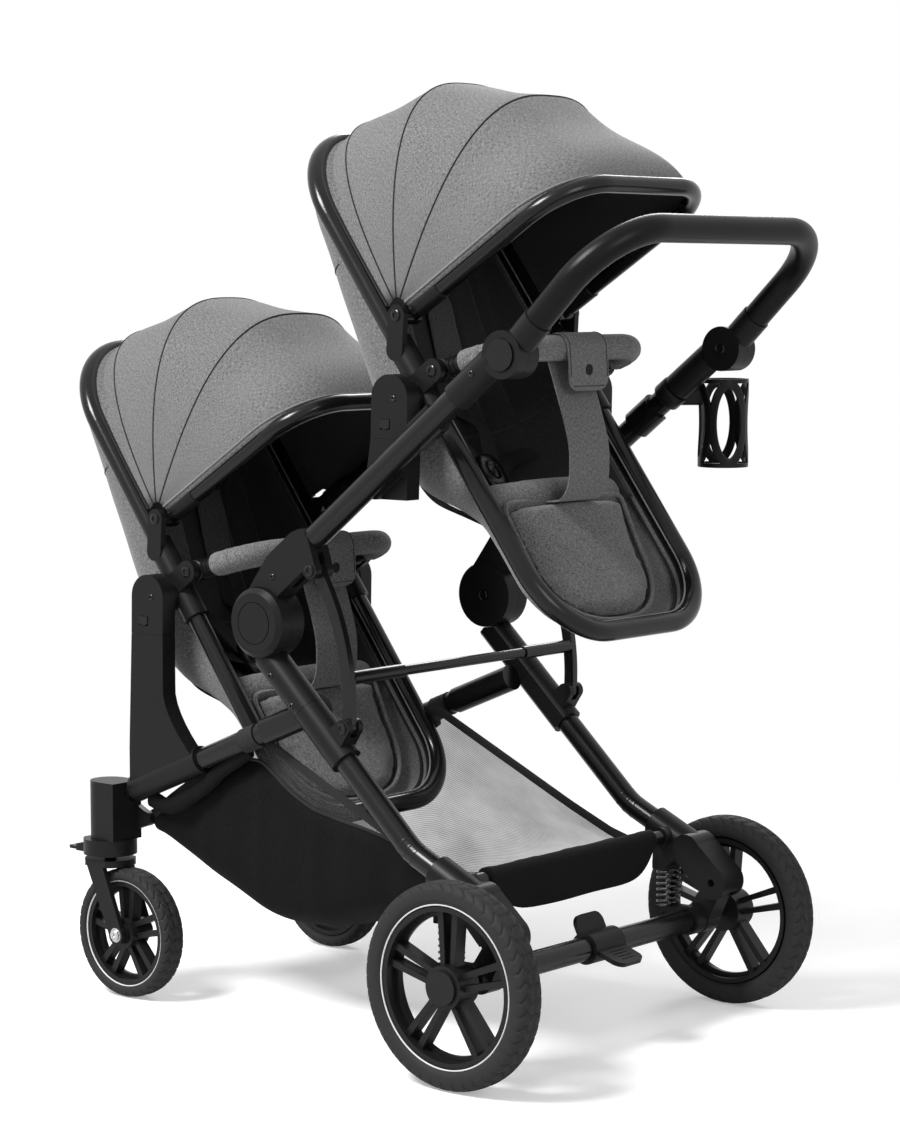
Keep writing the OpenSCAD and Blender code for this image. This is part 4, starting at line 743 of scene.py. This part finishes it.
# the band has round corners at the end of the flap: w = half - (R - sqrt(R^2 - (R - s)^2))
def strapGeo(path):
    r = strap["corner"]
    toEnd = np.clip(np.linalg.norm(path - path[-1], axis=1), 0, r)
    swell = 1 - (r - np.sqrt(r ** 2 - (r - toEnd) ** 2)) / strap["half"]
    return sweepGeo(path, ovalProfile(strap["thick"] / 2, strap["half"], 32, 8.0), (1, 0, 0), swell=swell)


# stitching along both edges of the strap and across its flap, and the snap's eyelet
def strapMarkParts(path):
    out = np.cross(unit(np.gradient(path, axis=0)), [1.0, 0, 0])
    out = out * np.sign(out[-8, 1])
    face, line = path + out * (strap["thick"] / 2 + strap["proud"]), ovalProfile(*strap["stitch"], 8)
    edge = strap["half"] - strap["edge"]
    parts = [sweepGeo((face + [side * edge, 0, 0])[40:-6], line, (1, 0, 0)) for side in (-1, 1)]
    x = np.linspace(-1, 1, 24) * (strap["half"] - strap["flapEdge"])
    parts.append(sweepGeo(points(x, *face[-3, 1:]), line, out[-3]))
    return parts + [latheGeo(face[-10], out[-10], strap["eyelet"], 28)]


# seat harness: shoulder and lap webbing lying on the lining, stuffed shoulder pads and a buckle
harness = {"half": 12.5, "thick": 1.8, "padHalf": 25.0, "padThick": 7.0, "topU": 205.0, "endU": 30.0,
           "buckleU": -72.0, "buckleOut": 24.0, "shoulderX": 46.0, "drift": 8.0, "lift": 4.0, "padLift": 9.0,
           "padRows": slice(4, 30), "padEnds": 8, "padRoot": 0.25, "padLeast": 0.1, "hangStep": (12, 6, 12),
           "hangOut": (6, 10, 0), "hangEnd": (12, 2, 14), "lapX": 118.0, "lapU": -40.0, "lapLift": 2.0,
           "lapSag": (0, -6, 4), "lapEnd": (16, 0, 0), "crotch": (1.2, 14.0),
           "crotchSteps": [(0.0, -22.0, -34.0), (0.0, -4.0, -22.0), (0.0, 0.0, -8.0)]}


def onLining(x, u, lift):
    return points(x, liningTop(x, u) + lift, u)


def harnessParts():
    buckle = onLining(np.array([0.0]), np.array([harness["buckleU"]]), harness["buckleOut"])[0]
    band = ovalProfile(harness["half"], harness["thick"] / 2, 14, 5.0)
    padding = ovalProfile(harness["padHalf"], harness["padThick"] / 2, 28, 3.0)
    rows, straps, pads = harness["padRows"], [], []
    for side in (-1, 1):
        hand, u = np.array([side, 1, 1]), np.linspace(harness["topU"], harness["endU"], 40)
        drift = harness["drift"] * (harness["topU"] - u) / (harness["topU"] - harness["endU"])
        x = side * (harness["shoulderX"] - drift)
        lying = onLining(x, u, harness["lift"])
        halfway = lying[-1] * 0.6 + (buckle + hand * harness["hangStep"]) * 0.4 + hand * harness["hangOut"]
        down = curve([lying[-1], halfway, buckle + hand * harness["hangEnd"]], 24)[1:]
        straps.append(sweepGeo(np.concatenate([lying, down]), band, (0, 1, 0.2)))
        padPath = onLining(x[rows], u[rows], harness["padLift"])
        k = np.linspace(-1, 1, len(padPath))
        swell = np.clip(1 - np.abs(k) ** harness["padEnds"], 0, 1) ** harness["padRoot"]
        pads.append(sweepGeo(padPath, padding, (0, 1, 0), swell=np.maximum(swell, harness["padLeast"])))
        start = onLining(np.array([side * harness["lapX"]]), np.array([harness["lapU"]]), harness["lapLift"])[0]
        middle = start * 0.5 + buckle * 0.5 + harness["lapSag"]
        lap = curve([start, middle, buckle + hand * harness["lapEnd"]], 30)
        straps.append(sweepGeo(lap, band, (0, 1, 0.6)))
    crotch = curve([buckle + step for step in harness["crotchSteps"]], 16)
    straps.append(sweepGeo(crotch, ovalProfile(*harness["crotch"], 14, 5.0), (1, 0, 0)))
    return straps, pads, buckle


# buckle: rounded shield of stacked ovals as (share, height), thickest in the middle, with a release dish
shield = np.array([[0.02, 5.2], [0.3, 5.2], [0.42, 6.4], [0.5, 8.0], [0.8, 8.0], [0.96, 6.2], [1.0, 0.0],
                   [0.96, -5.0], [0.8, -6.4], [0.4, -6.6], [0.02, -6.6]])


def buckleGeo(at):
    flat = shield[:, :1, None] * ovalProfile(23.0, 27.0, 48, 2.6)[None]
    return gridGeo(points(flat[..., 0], shield[:, 1:], flat[..., 1]) + at, wrapB=True)


# slings: two webbing bands that hang slack under the seat, n = skin + tuck - (gap + tuck + slack) sin(pi s)
sling = {"x": 78.0, "from": -34.0, "to": -214.0, "half": 9.0, "thick": 1.6, "gap": 2.0, "slack": 11.0, "tuck": 3.0}


def slingParts():
    s = np.linspace(0, 1, 50)
    u = sling["from"] + (sling["to"] - sling["from"]) * s
    hang = (sling["gap"] + sling["tuck"] + sling["slack"]) * np.sin(math.pi * s)
    n, band = shellN(sling["x"], u) + sling["tuck"] - hang, ovalProfile(sling["thick"] / 2, sling["half"], 14, 5.0)
    return [sweepGeo(points(side * sling["x"], n, u), band, (1, 0, 0)) for side in (-1, 1)]


# bow sockets: the fittings at the feet of the bow, as (share of the length, size)
bowSocket = {"from": 17.0, "to": 62.0, "r": 12.6, "n": 41.0, "u": 94.0, "x": 149.5, "sizes": np.array([
    [0, 0.93], [0.03, 0.99], [0.07, 1.0], [0.5, 1.0], [0.9, 1.0], [0.94, 0.985], [0.95, 1.01], [0.985, 1.01],
    [1.0, 0.95]])}


def bowSocketParts():
    share, swell = bowSocket["sizes"].T
    reach = bowSocket["from"] + (bowSocket["to"] - bowSocket["from"]) * share
    paths = [around(side * bowSocket["x"], bowSocket["n"], bowSocket["u"], reach, fanStart) for side in (-1, 1)]
    return [sweepGeo(path, roundProfile(bowSocket["r"], 40), (1, 0, 0), swell=swell) for path in paths]


# bolts: turned heads as (radius, height) in mm
bolts = {
    "screw": [[0.01, 0.3], [1.7, 0.3], [1.8, 1.5], [2.5, 1.8], [3.5, 1.4], [4.3, 0.5], [4.5, -1.0]],
    "ring": [[0.01, 0.7], [3.0, 0.7], [3.2, 1.9], [5.6, 2.1], [7.0, 1.4], [7.4, -1.0]],
    "axle": [[0.01, 1.6], [2.6, 1.6], [2.8, 3.4], [6.0, 3.8], [7.6, 2.6], [7.8, 0.4], [9.6, 0.2], [9.8, -1.0]],
}


# a head at x on both sides, facing out or in
def boltPair(kind, x, y, z, steps, facing=1):
    return [latheGeo((side * x, y, z), (side * facing, 0, 0), bolts[kind], steps) for side in (-1, 1)]


# trims round the seat ring: how far in, the bends, the height, and what the line shrinks by; the pale one is a
# painted highlight along the ring's inner edge
trims = {"rim": (8.0, 88.0, 112.0, 4.0, (1, 1)), "edge": (8.0, 88.0, 112.0, -3.5, (0.985, 0.99)),
         "pale": (13.0, 82.0, 107.0, 14.5, (1, 1))}


def trimGeo(name, profile):
    inset, footBend, topBend, n, shrink = trims[name]
    line = ringLine(inset, footBend, topBend, 260) * shrink
    return sweepGeo(points(line[:, 0], n, line[:, 1]), profile, (0, 1, 0), True)


# both seats from the same patterns
skins = {"shell": shellGeo(), "lining": liningGeo(), "pad": padGeo(), "knee": kneeGeo()}
strapLine = strapPath()
strapMarks = strapMarkParts(strapLine)
barCover, barSeams, barEnds = bumperParts()
webStraps, webPads, buckleAt = harnessParts()
padPiping = [sweepGeo(padRim(0.0, 3.5), roundProfile(3.2, 12), (0, 1, 0), True),
             sweepGeo(padRim(3.0, -4.0), ovalProfile(4.2, 3.6, 12), (0, 1, 0), True)]
canopySeams = [sweepGeo(fanRow(s, 0.2), ovalProfile(0.7, 1.1, 8), upFrom(fanStart + s * fanSpread))
               for s in fan["ribs"][1:-1]]
canopyPiping = [sweepGeo(fanRow(0.004, 0.8), roundProfile(1.5, 8), upFrom(fanStart))]
canopyHem = [sweepGeo(fanSkirt(fanRow(1.0, 0.6), 1.2, 5)[3], ovalProfile(3.2, 1.6, 10, 3.0), (0, 1, 0))]
pivotBolts = [latheGeo((side * 175.0, at["n"], at["u"]), (side, 0, 0), bolts["ring"], 32)
              for side in (-1, 1) for at in (bowSocket, bumper)]


def dressSeat(which):
    seat, bow, bar = which + "_seat", which + "_bow", which + "_bumper"
    cloth, black = "heather_cloth", "basket_cloth"

    def sew(name, geos, slotName, body, finish=None, sharp=40.0, closed=True):
        placed = [(seatPlace(which, g[0]), g[1], g[2]) for g in geos]
        return makePiece(which + "_" + name, placed, slotName, body, finish, sharp, closed)

    cover = thicken(sew("seat_cover", [skins["shell"]], cloth, seat, heather, 60, False), shell["thick"], 1)
    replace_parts(cover, which + "_seat_shell")
    piping = sew("seat_piping", [trimGeo("rim", roundProfile(2.4))], cloth, seat, darkThread)
    edging = sew("seat_edging", [trimGeo("edge", ovalProfile(4.6, 1.4, 12, 3.0))], cloth, seat, webbing)
    sewn = sew("cover_seams", [shellSeamGeo()], cloth, seat, darkThread)
    sew("seat_lining", [skins["lining"]], black, seat, liningCloth, 60)
    apron = sew("foot_apron", [skins["pad"]], cloth, None, sharp=60)
    puffUp(apron, footPad["cap"])
    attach(apron, seat)
    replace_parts(apron, which + "_foot_pad")
    sew("foot_pad_piping", padPiping, cloth, seat, heather)
    knee = sew("knee_roll", [skins["knee"]], cloth, None, sharp=60)
    puffUp(knee, kneeRoll["cap"])
    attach(knee, seat)

    # canopy with its seams and front piping, drawn from the seat to the bow
    hood = thicken(sew("hood", [fanGeo(0.0, True)], cloth, None, heather, 60, False), fan["thick"], 1)
    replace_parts(hood, which + "_canopy")
    under = sew("canopy_inside", [fanGeo(fan["inside"], False)], black, None, liningCloth, 60, False)
    seams = sew("canopy_seams", canopySeams, None, None, darkThread)
    trim = sew("canopy_piping", canopyPiping, None, None, palePipingAndHighlight)
    hem = sew("canopy_hem", canopyHem, None, None, webbing)
    for made in (hood, under, seams, trim, hem):
        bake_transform(made)

    # bumper bar
    wrap = sew("bumper_cover", [barCover], cloth, bar, sharp=60)
    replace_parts(wrap, which + "_bumper_bar")
    sew("bumper_seam", barSeams, cloth, bar, heather)
    sew("bumper_ends", barEnds, "dark_plastic", bar, sharp=30)

    # crotch strap
    band = sew("crotch_band", [strapGeo(strapLine)], cloth, None, heather, 50)
    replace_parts(band, which + "_crotch_strap")
    marks = sew("crotch_stitching", strapMarks, cloth, None, darkThread)
    for made in (band, marks):
        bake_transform(made)
    # a pale line round the ring's inner edge: painted highlight, pale cloth standing in for the shine on the piping
    sew("ring_highlight_line", [trimGeo("pale", roundProfile(1.1))], cloth, seat, palePipingAndHighlight)
    sew("bow_sockets", bowSocketParts(), "dark_plastic", bow, sharp=30)
    sew("pivot_bolts", pivotBolts, "gloss_trim", seat, sharp=30)

    # harness and slings
    sew("seat_slings", slingParts(), black, seat, webbing)
    sew("harness_webbing", webStraps, black, seat, webbing)
    sew("shoulder_pads", webPads, cloth, seat, darkHeather, 60)
    sew("harness_buckle", [buckleGeo(buckleAt)], "gloss_trim", seat, sharp=35)


for seatName in seatSpots:
    dressSeat(seatName)
print("seats dressed")

# basket: hammock of U sections, x = W sin^(2/p), z = hem - (hem - floor) cos^(2/p), cloth below, mesh above; on the
# near wall the black cloth rises high as painted shade
basket = {
    "half": 174.0, "front": -307.0, "back": 247.0, "low": 112.0, "high": 366.0, "power": 5.0, "thick": 1.4,
    "y": [0, .06, .16, .3, .36, .5, .64, .78, .9, 1], "floor": [.42, .32, .17, .02, 0, .02, .1, .2, .28, .38],
    "hem": [.52, .62, .76, .95, 1, .86, .72, .58, .47, .41], "soften": (0.05, 0.025),
    "nearShadeShare": 0.80, "meshFar": 0.16, "meshAt": -20.0, "meshOver": 120.0,
    "folds": ((3.2, 27.0), (1.8, 11.0)), "foldLean": 3, "foldShare": 3.2, "foldIn": 0.8, "wallPower": 6,
    "sag": (-2.5, 40.0, 50.0),
}


def basketRows(y):
    share = (y - basket["front"]) / (basket["back"] - basket["front"])
    tall = basket["high"] - basket["low"]
    return [basket["low"] + tall * eased(share, basket["y"], basket[key], width)
            for key, width in zip(("floor", "hem"), basket["soften"])]


def basketPoint(y, phi, out=0.0):
    floor, hem = basketRows(y)
    x = (basket["half"] + out) * squared(np.sin(phi), basket["power"])
    drop = np.maximum(np.cos(phi), 0) ** (2 / basket["power"])
    wall = np.clip(np.abs(np.sin(phi)), 0, 1) ** basket["wallPower"]
    (big, bigLong), (small, smallLong) = basket["folds"]
    folds = big * np.sin(y / bigLong + np.sign(x)) + small * np.sin(y / smallLong + drop * basket["foldLean"])
    folds = np.sign(x) * np.abs(folds * wall * drop * (1 - drop) * basket["foldShare"])
    deep, along, across = basket["sag"]
    sag = deep * np.sin(y / along) * np.cos(x / across) * (1 - wall)
    return points(x - folds * basket["foldIn"], y, hem - drop * (hem - floor) + sag * drop)


def basketBand(first, last, steps, rows=90):
    y = np.linspace(basket["front"], basket["back"], rows)[:, None]
    a, b = first(y), last(y)
    return gridGeo(basketPoint(y, a + (b - a) * np.linspace(0, 1, steps)[None]))


# how far up the wall the closed cloth goes, as an angle of the section
def wallAngle(share):
    return np.arccos(np.clip(1 - share, 0, 1) ** (basket["power"] / 2))


# the near wall's black cloth rises to most of its height in the middle: painted shade, a dark sheet where the
# see-through mesh lies in shadow
def nearShadeTop(y):
    return wallAngle(1 - (1 - basket["nearShadeShare"]) * bell(y - basket["meshAt"], basket["meshOver"]))


def farTop(y):
    return -wallAngle(basket["meshFar"] + 0 * y)


def basketPiece(name, geos, finish=None, sharp=60, closed=True):
    return makePiece("basket_" + name, geos, "basket_cloth", "chassis", finish, sharp, closed)


# the tray's black cloth runs from low on the far wall to high on the near wall, where it is painted shade over the
# mesh
tray = thicken(basketPiece("tray", [basketBand(farTop, nearShadeTop, 60)], None, 60, False), basket["thick"], 0)
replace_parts(tray, "basket")
screen = basketPiece("mesh", [basketBand(nearShadeTop, lambda y: 0 * y + quarter, 12),
                              basketBand(lambda y: 0 * y - quarter, farTop, 40)], basketMesh, 60, False)
hemY = np.linspace(basket["front"], basket["back"], 140)
hemPaths = [points(side * basket["half"], hemY, basketRows(hemY)[1]) for side in (-1, 1)]
hems = [sweepGeo(path, ovalProfile(6.0, 1.6, 14, 3.0), (1, 0, 0)) for path in hemPaths]
joinY = hemY[20:]
hems.append(sweepGeo(basketPoint(joinY, nearShadeTop(joinY), 0.8), ovalProfile(2.2, 1.2, 10), (1, 0, 0)))
binding = basketPiece("binding", hems, webbing, 40)

# cloth sleeves round the two carrying bars, gathered in small waves
bars = {"front": (-315.5, 238.0, 9.0, 166.0), "rear": (259.2, 228.8, 12.0, 167.0)}
gather = {"y": (0.8, 9.0), "z": (0.7, 13.0), "size": (0.025, 5.0), "taller": 0.8}
sleeves = []
for y, z, r, half in bars.values():
    x = np.linspace(-half, half, 90)
    (moveY, longY), (moveZ, longZ), (grow, growLong) = (gather[key] for key in ("y", "z", "size"))
    path = points(x, y + moveY * np.sin(x / longY), z + moveZ * np.cos(x / longZ))
    profile = ovalProfile(r, r + gather["taller"], 28)
    sleeves.append(sweepGeo(path, profile, (0, 0, 1), swell=1 + grow * np.sin(x / growLong)))
sleeve = basketPiece("sleeves", sleeves)

# rear flap: over the sleeve and straight down, the lower edge at drop (1 - |x / w|^p)
flap = {"half": 166.0, "y": 259.2, "z": 228.8, "r": 13.4, "drop": 46.0, "power": 7.0, "wave": (1.6, 23.0),
        "thick": 1.6}
x = np.linspace(-1, 1, 90)[:, None] * flap["half"]
over = np.radians(np.concatenate([np.linspace(80, 0, 8), np.zeros(12)]))[None]
down = np.concatenate([np.zeros(8), np.linspace(0, 1, 13)[1:]])[None]
hang = flap["drop"] * (1 - np.abs(x / flap["half"]) ** flap["power"])
flapPts = around(x, flap["y"], flap["z"] - hang * down, flap["r"], over)
flapPts[..., 1] += flap["wave"][0] * np.sin(x / flap["wave"][1]) * down
rear = thicken(basketPiece("flap", [gridGeo(flapPts)], None, 60, False), flap["thick"], 0)

# rolled cloth hanging slack under each front tube
roll = {"x": 186.0, "a": 11.0, "b": 6.5,
        "points": [(-300.0, 268.0), (-262.0, 262.0), (-215.0, 285.0), (-165.0, 322.0), (-118.0, 351.0)]}
rollSwell = 1 + 0.05 * np.sin(np.linspace(0, 23, 60))
rollPaths = [curve([(side * roll["x"], *p) for p in roll["points"]], 60) for side in (-1, 1)]
rolled = basketPiece("rolls", [sweepGeo(path, ovalProfile(roll["a"], roll["b"], 24), (1, 0, 0), swell=rollSwell)
                               for path in rollPaths])
print("basket hung")

# screws and bolts where the photograph shows them, the same on both sides; the last column faces in or out
boltSpots = {
    "push_frame": [("screw", 238.5, -26.5, 584.6, 1), ("screw", 240.7, 296.9, 843.6, 1),
                   ("ring", 238.5, 36.0, 596.0, 1), ("ring", 203.5, -49.0, 525.5, -1)],
    "chassis": [("screw", 242.3, -27.7, 459.9, 1), ("screw", 242.2, 8.3, 425.3, 1),
                ("screw", 205.5, -277.1, 539.5, 1), ("screw", 243.5, 322.0, 206.0, 1)],
    "upper_seat_base": [("screw", 205.5, 145.4, 810.0, 1)],
    "collars": [("ring", 236.0, 86.9, 403.7, 1)],
    "handle": [("ring", 203.5, 340.5, 865.9, -1)],
}
for body, spots in boltSpots.items():
    heads = [head for kind, x, y, z, facing in spots for head in boltPair(kind, x, y, z, 28, facing)]
    makePiece(body + "_screws", heads, "gloss_trim", body, sharp=30)
for hand, head in zip(("left", "right"), boltPair("axle", 228.5, -326.5, 86.5, 36)[::-1]):
    makePiece(f"caster_{hand}_bolt", [head], "spring_steel", f"caster_{hand}", brightSteel, 30)

# cloth loops that hang the basket from the front tubes
loop = {"y": (-122.0, -96.0), "x": 189.5, "r": 16.1, "lineY": -15.6, "lineZ": 407.0, "slope": math.radians(22.5)}
loopY = np.linspace(*loop["y"], 14)
loopZ = loop["lineZ"] + (loopY - loop["lineY"]) * math.tan(loop["slope"])
loopSwell = 1 + 0.012 * np.cos(np.linspace(0, 3 * tau, 14))
basketPiece("loops", [sweepGeo(points(side * loop["x"], loopY, loopZ), roundProfile(loop["r"], 40), (1, 0, 0),
                               swell=loopSwell) for side in (-1, 1)], webbing, 50)

# cup holder: four loops round a cylinder between two hoops, angle = a0 + w cos t, z = mid + h sin t
cup = {"x": -272.0, "y": 298.0, "low": 711.0, "high": 826.0, "r": 31.2, "wall": 3.5, "hoop": 6.0, "band": 11.5,
       "turn": 0.69, "tall": 50.5, "loops": 4, "first": 0.852, "base": [(0, 0), (1, 1.0), (1, 3.6)],
       "clipAt": (-222.0, 250.27, 806.78), "clipR": 20.0, "clipTurn": math.radians(38.0), "neckHalf": (9.0, 15.0),
       "clip": np.array([[-10.0, 0.97], [-8.6, 1], [8.6, 1], [10.0, 0.97]]),
       "neck": [(-232.0, 252.0, 806.0), (-246.0, 264.0, 806.0), (-256.0, 276.0, 806.0)]}


def cupParts():
    t, middle = circle(160), (cup["low"] + cup["high"]) / 2
    paths = [(t, z, cup["hoop"]) for z in (cup["low"] + cup["hoop"] / 2, cup["high"] - cup["hoop"] / 2)]
    for k in range(cup["loops"]):
        angle = cup["first"] + tau * k / cup["loops"] + cup["turn"] * np.cos(t)
        paths.append((angle, middle + cup["tall"] * np.sin(t), cup["band"]))
    parts = []
    for angle, z, wide in paths:
        outward = points(np.cos(angle), np.sin(angle), 0.0)
        path = outward * cup["r"] + points(cup["x"], cup["y"], z)
        parts.append(sweepGeo(path, ovalProfile(wide / 2, cup["wall"] / 2, 20, 4.0), outward, True))
    base = [(0.01, 0), *((cup["r"] + out, up) for out, up in cup["base"]), (0.01, 4.0)]
    parts.append(latheGeo((cup["x"], cup["y"], cup["low"]), (0, 0, 1), base, 48))
    along, swell = cup["clip"].T
    clip = around(*cup["clipAt"], along, cup["clipTurn"])
    parts.append(sweepGeo(clip, roundProfile(cup["clipR"], 40), (1, 0, 0), swell=swell))
    parts.append(sweepGeo(curve(cup["neck"], 14), ovalProfile(*cup["neckHalf"], 24, 3.0), (0, 0, 1)))
    return parts


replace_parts(makePiece("cup_lattice", cupParts(), "dark_plastic", "push_frame", sharp=35), "cup_holder")
print("fittings placed")

# springs: a wire carried round a helix, ends closed flat; drawn at one length, though the real ones shorten as the
# axle rises
spring = {"x": (211.0, 233.0), "y": 251.5, "low": 135.9, "high": 182.1, "r": 8.0, "wire": 1.65, "turns": 6.5,
          "turnShares": [0, .1, .9, 1], "riseShares": [0, .06, .94, 1]}
turn = np.linspace(0, 1, 420)
rise = eased(turn, spring["turnShares"], spring["riseShares"], 0.05)
coilZ, a = spring["low"] + (spring["high"] - spring["low"]) * rise, turn * spring["turns"] * tau
coils = [sweepGeo(points(side * x + spring["r"] * np.cos(a), spring["y"] + spring["r"] * np.sin(a), coilZ),
                  roundProfile(spring["wire"]), (0, 0, 1)) for x in spring["x"] for side in (-1, 1)]
coil = makePiece("suspension_coils", coils, "spring_steel", "chassis")
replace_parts(coil, "suspension_springs")
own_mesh(coil)

# tyres: section r = mid + h sgn|sin|^(2/p), x = w sgn|cos|^(2/p); the tread sinks in zigzag grooves
tread = {"depth": 2.3, "power": 2.7, "zigs": 3.2, "zigDeep": 1.1, "groove": 0.075, "middle": 2.2, "middleDeep": 0.8,
         "from": 0.5, "over": 0.18, "sideFrom": 0.3, "sideIn": 0.5}
rimLine = {"in": 4.6, "a": 1.0, "b": 1.1}
wheelSets = {"rear": {"outer": 125.0, "inner": 96.0, "wide": 40.0, "lugs": 44, "line": 98.2},
             "front": {"outer": 86.5, "inner": 69.0, "wide": 35.0, "lugs": 34, "line": 70.6}}


def tyreGeo(centre, outer, inner, wide, lugs, line):
    a, b = circle(460)[:, None], circle(56)[None]
    c, s, tall = np.cos(b), np.sin(b), outer - inner
    x = wide / 2 * squared(c, tread["power"])
    r = (outer + inner) / 2 + tall / 2 * squared(s, tread["power"])
    zig = np.abs(x) / wide * tread["zigs"]
    place = (a * lugs / tau + np.abs(zig - np.floor(zig + 0.5)) * tread["zigDeep"]) % 1
    onTread = np.clip((r - (inner + tall * tread["from"])) / (tall * tread["over"]), 0, 1)
    middle = bell(x, tread["middle"]) * onTread * tread["middleDeep"]
    sink = tread["depth"] * np.clip(bell(place - 0.5, tread["groove"]) * onTread + middle, 0, 1)
    r = r - sink * np.clip(s + tread["sideFrom"], 0, 1)
    x = x - np.sign(c) * sink * np.abs(c) * tread["sideIn"]
    return gridGeo(points(x, r * np.cos(a), r * np.sin(a)) + centre, wrapA=True, wrapB=True)


for end, w in wheelSets.items():
    for hand in ("left", "right"):
        node, body = f"{end}_tyre_{hand}", f"{end}_wheel_{hand}"
        centre = sum(np.array(p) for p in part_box(node)) / 2 / mm
        tyre = makePiece(f"{end}_tread_{hand}", [tyreGeo(centre, **w)], "tyre_rubber", body, sharp=50)
        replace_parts(tyre, node)
        a, side = circle(160), math.copysign(1, centre[0])
        ring = around(side * (w["wide"] / 2 - rimLine["in"]), 0.0, 0.0, w["line"], a) + centre
        white = sweepGeo(ring, ovalProfile(rimLine["a"], rimLine["b"], 10), (1, 0, 0), True)
        makePiece(f"{end}_rim_line_{hand}", [white], "rim_plastic", body, whiteRing)
print("wheels shod")

# floor, light and background
studio = {"floor": 6.0, "fadeFrom": 0.9, "fadeTo": 2.0, "floorGlow": 0.34, "floorTone": 0.82, "worldLight": 0.4}
lamps = {"key": ((2.2, -0.6, 2.9), (0, 0, 0.6), 1.0, 142.0), "fill": ((1.2, 3.4, 1.8), (0, 0, 0.6), 1.4, 27.0),
         "back": ((-2.6, -1.6, 2.4), (0, 0, 0.7), 1.2, 36.0)}
floorMesh = bpy.data.meshes.new("floor")
s = studio["floor"]
floorMesh.from_pydata([(-s, -s, 0), (s, -s, 0), (s, s, 0), (-s, s, 0)], [], [(0, 1, 2, 3)])
floor = bpy.data.objects.new("floor", floorMesh)
scene.collection.objects.link(floor)
floorFinish, shader, spot = startFinish("pale floor", "Object", {
    "Base Color": (*[studio["floorTone"]] * 3, 1), "Roughness": 0.85, "Specular IOR Level": 0.1,
    "Emission Strength": studio["floorGlow"]})
spot.node("ShaderNodeLightPath", {}, {}, "Is Camera Ray").between(0, 1).into(shader, "Emission Color")
away = spot.node("ShaderNodeVectorMath", {"operation": "LENGTH"}, {0: spot}, 1)
((studio["fadeTo"] - away) / (studio["fadeTo"] - studio["fadeFrom"])).clamped().into(shader, "Alpha")
floorMesh.materials.append(floorFinish)

world = bpy.data.worlds.new("studio")
scene.world = world
world.use_nodes = True
tree = world.node_tree
tree.nodes.clear()
path = tree.nodes.new("ShaderNodeLightPath")
rays = ("Is Camera Ray", "Is Glossy Ray", "Is Transmission Ray")
camera, glossy, through = (Wire(tree, path.outputs[ray]) for ray in rays)
amount = (camera + glossy + through).clamped() * (1 - studio["worldLight"]) + studio["worldLight"]
backdrop = amount.node("ShaderNodeBackground", {}, {"Color": (1, 1, 1, 1), "Strength": amount})
backdrop.into(tree.nodes.new("ShaderNodeOutputWorld"), "Surface")

for name, (at, to, size, power) in lamps.items():
    data = bpy.data.lights.new(name, "AREA")
    data.shape, data.size, data.energy = "SQUARE", size, power
    aim(name, data, at, to)
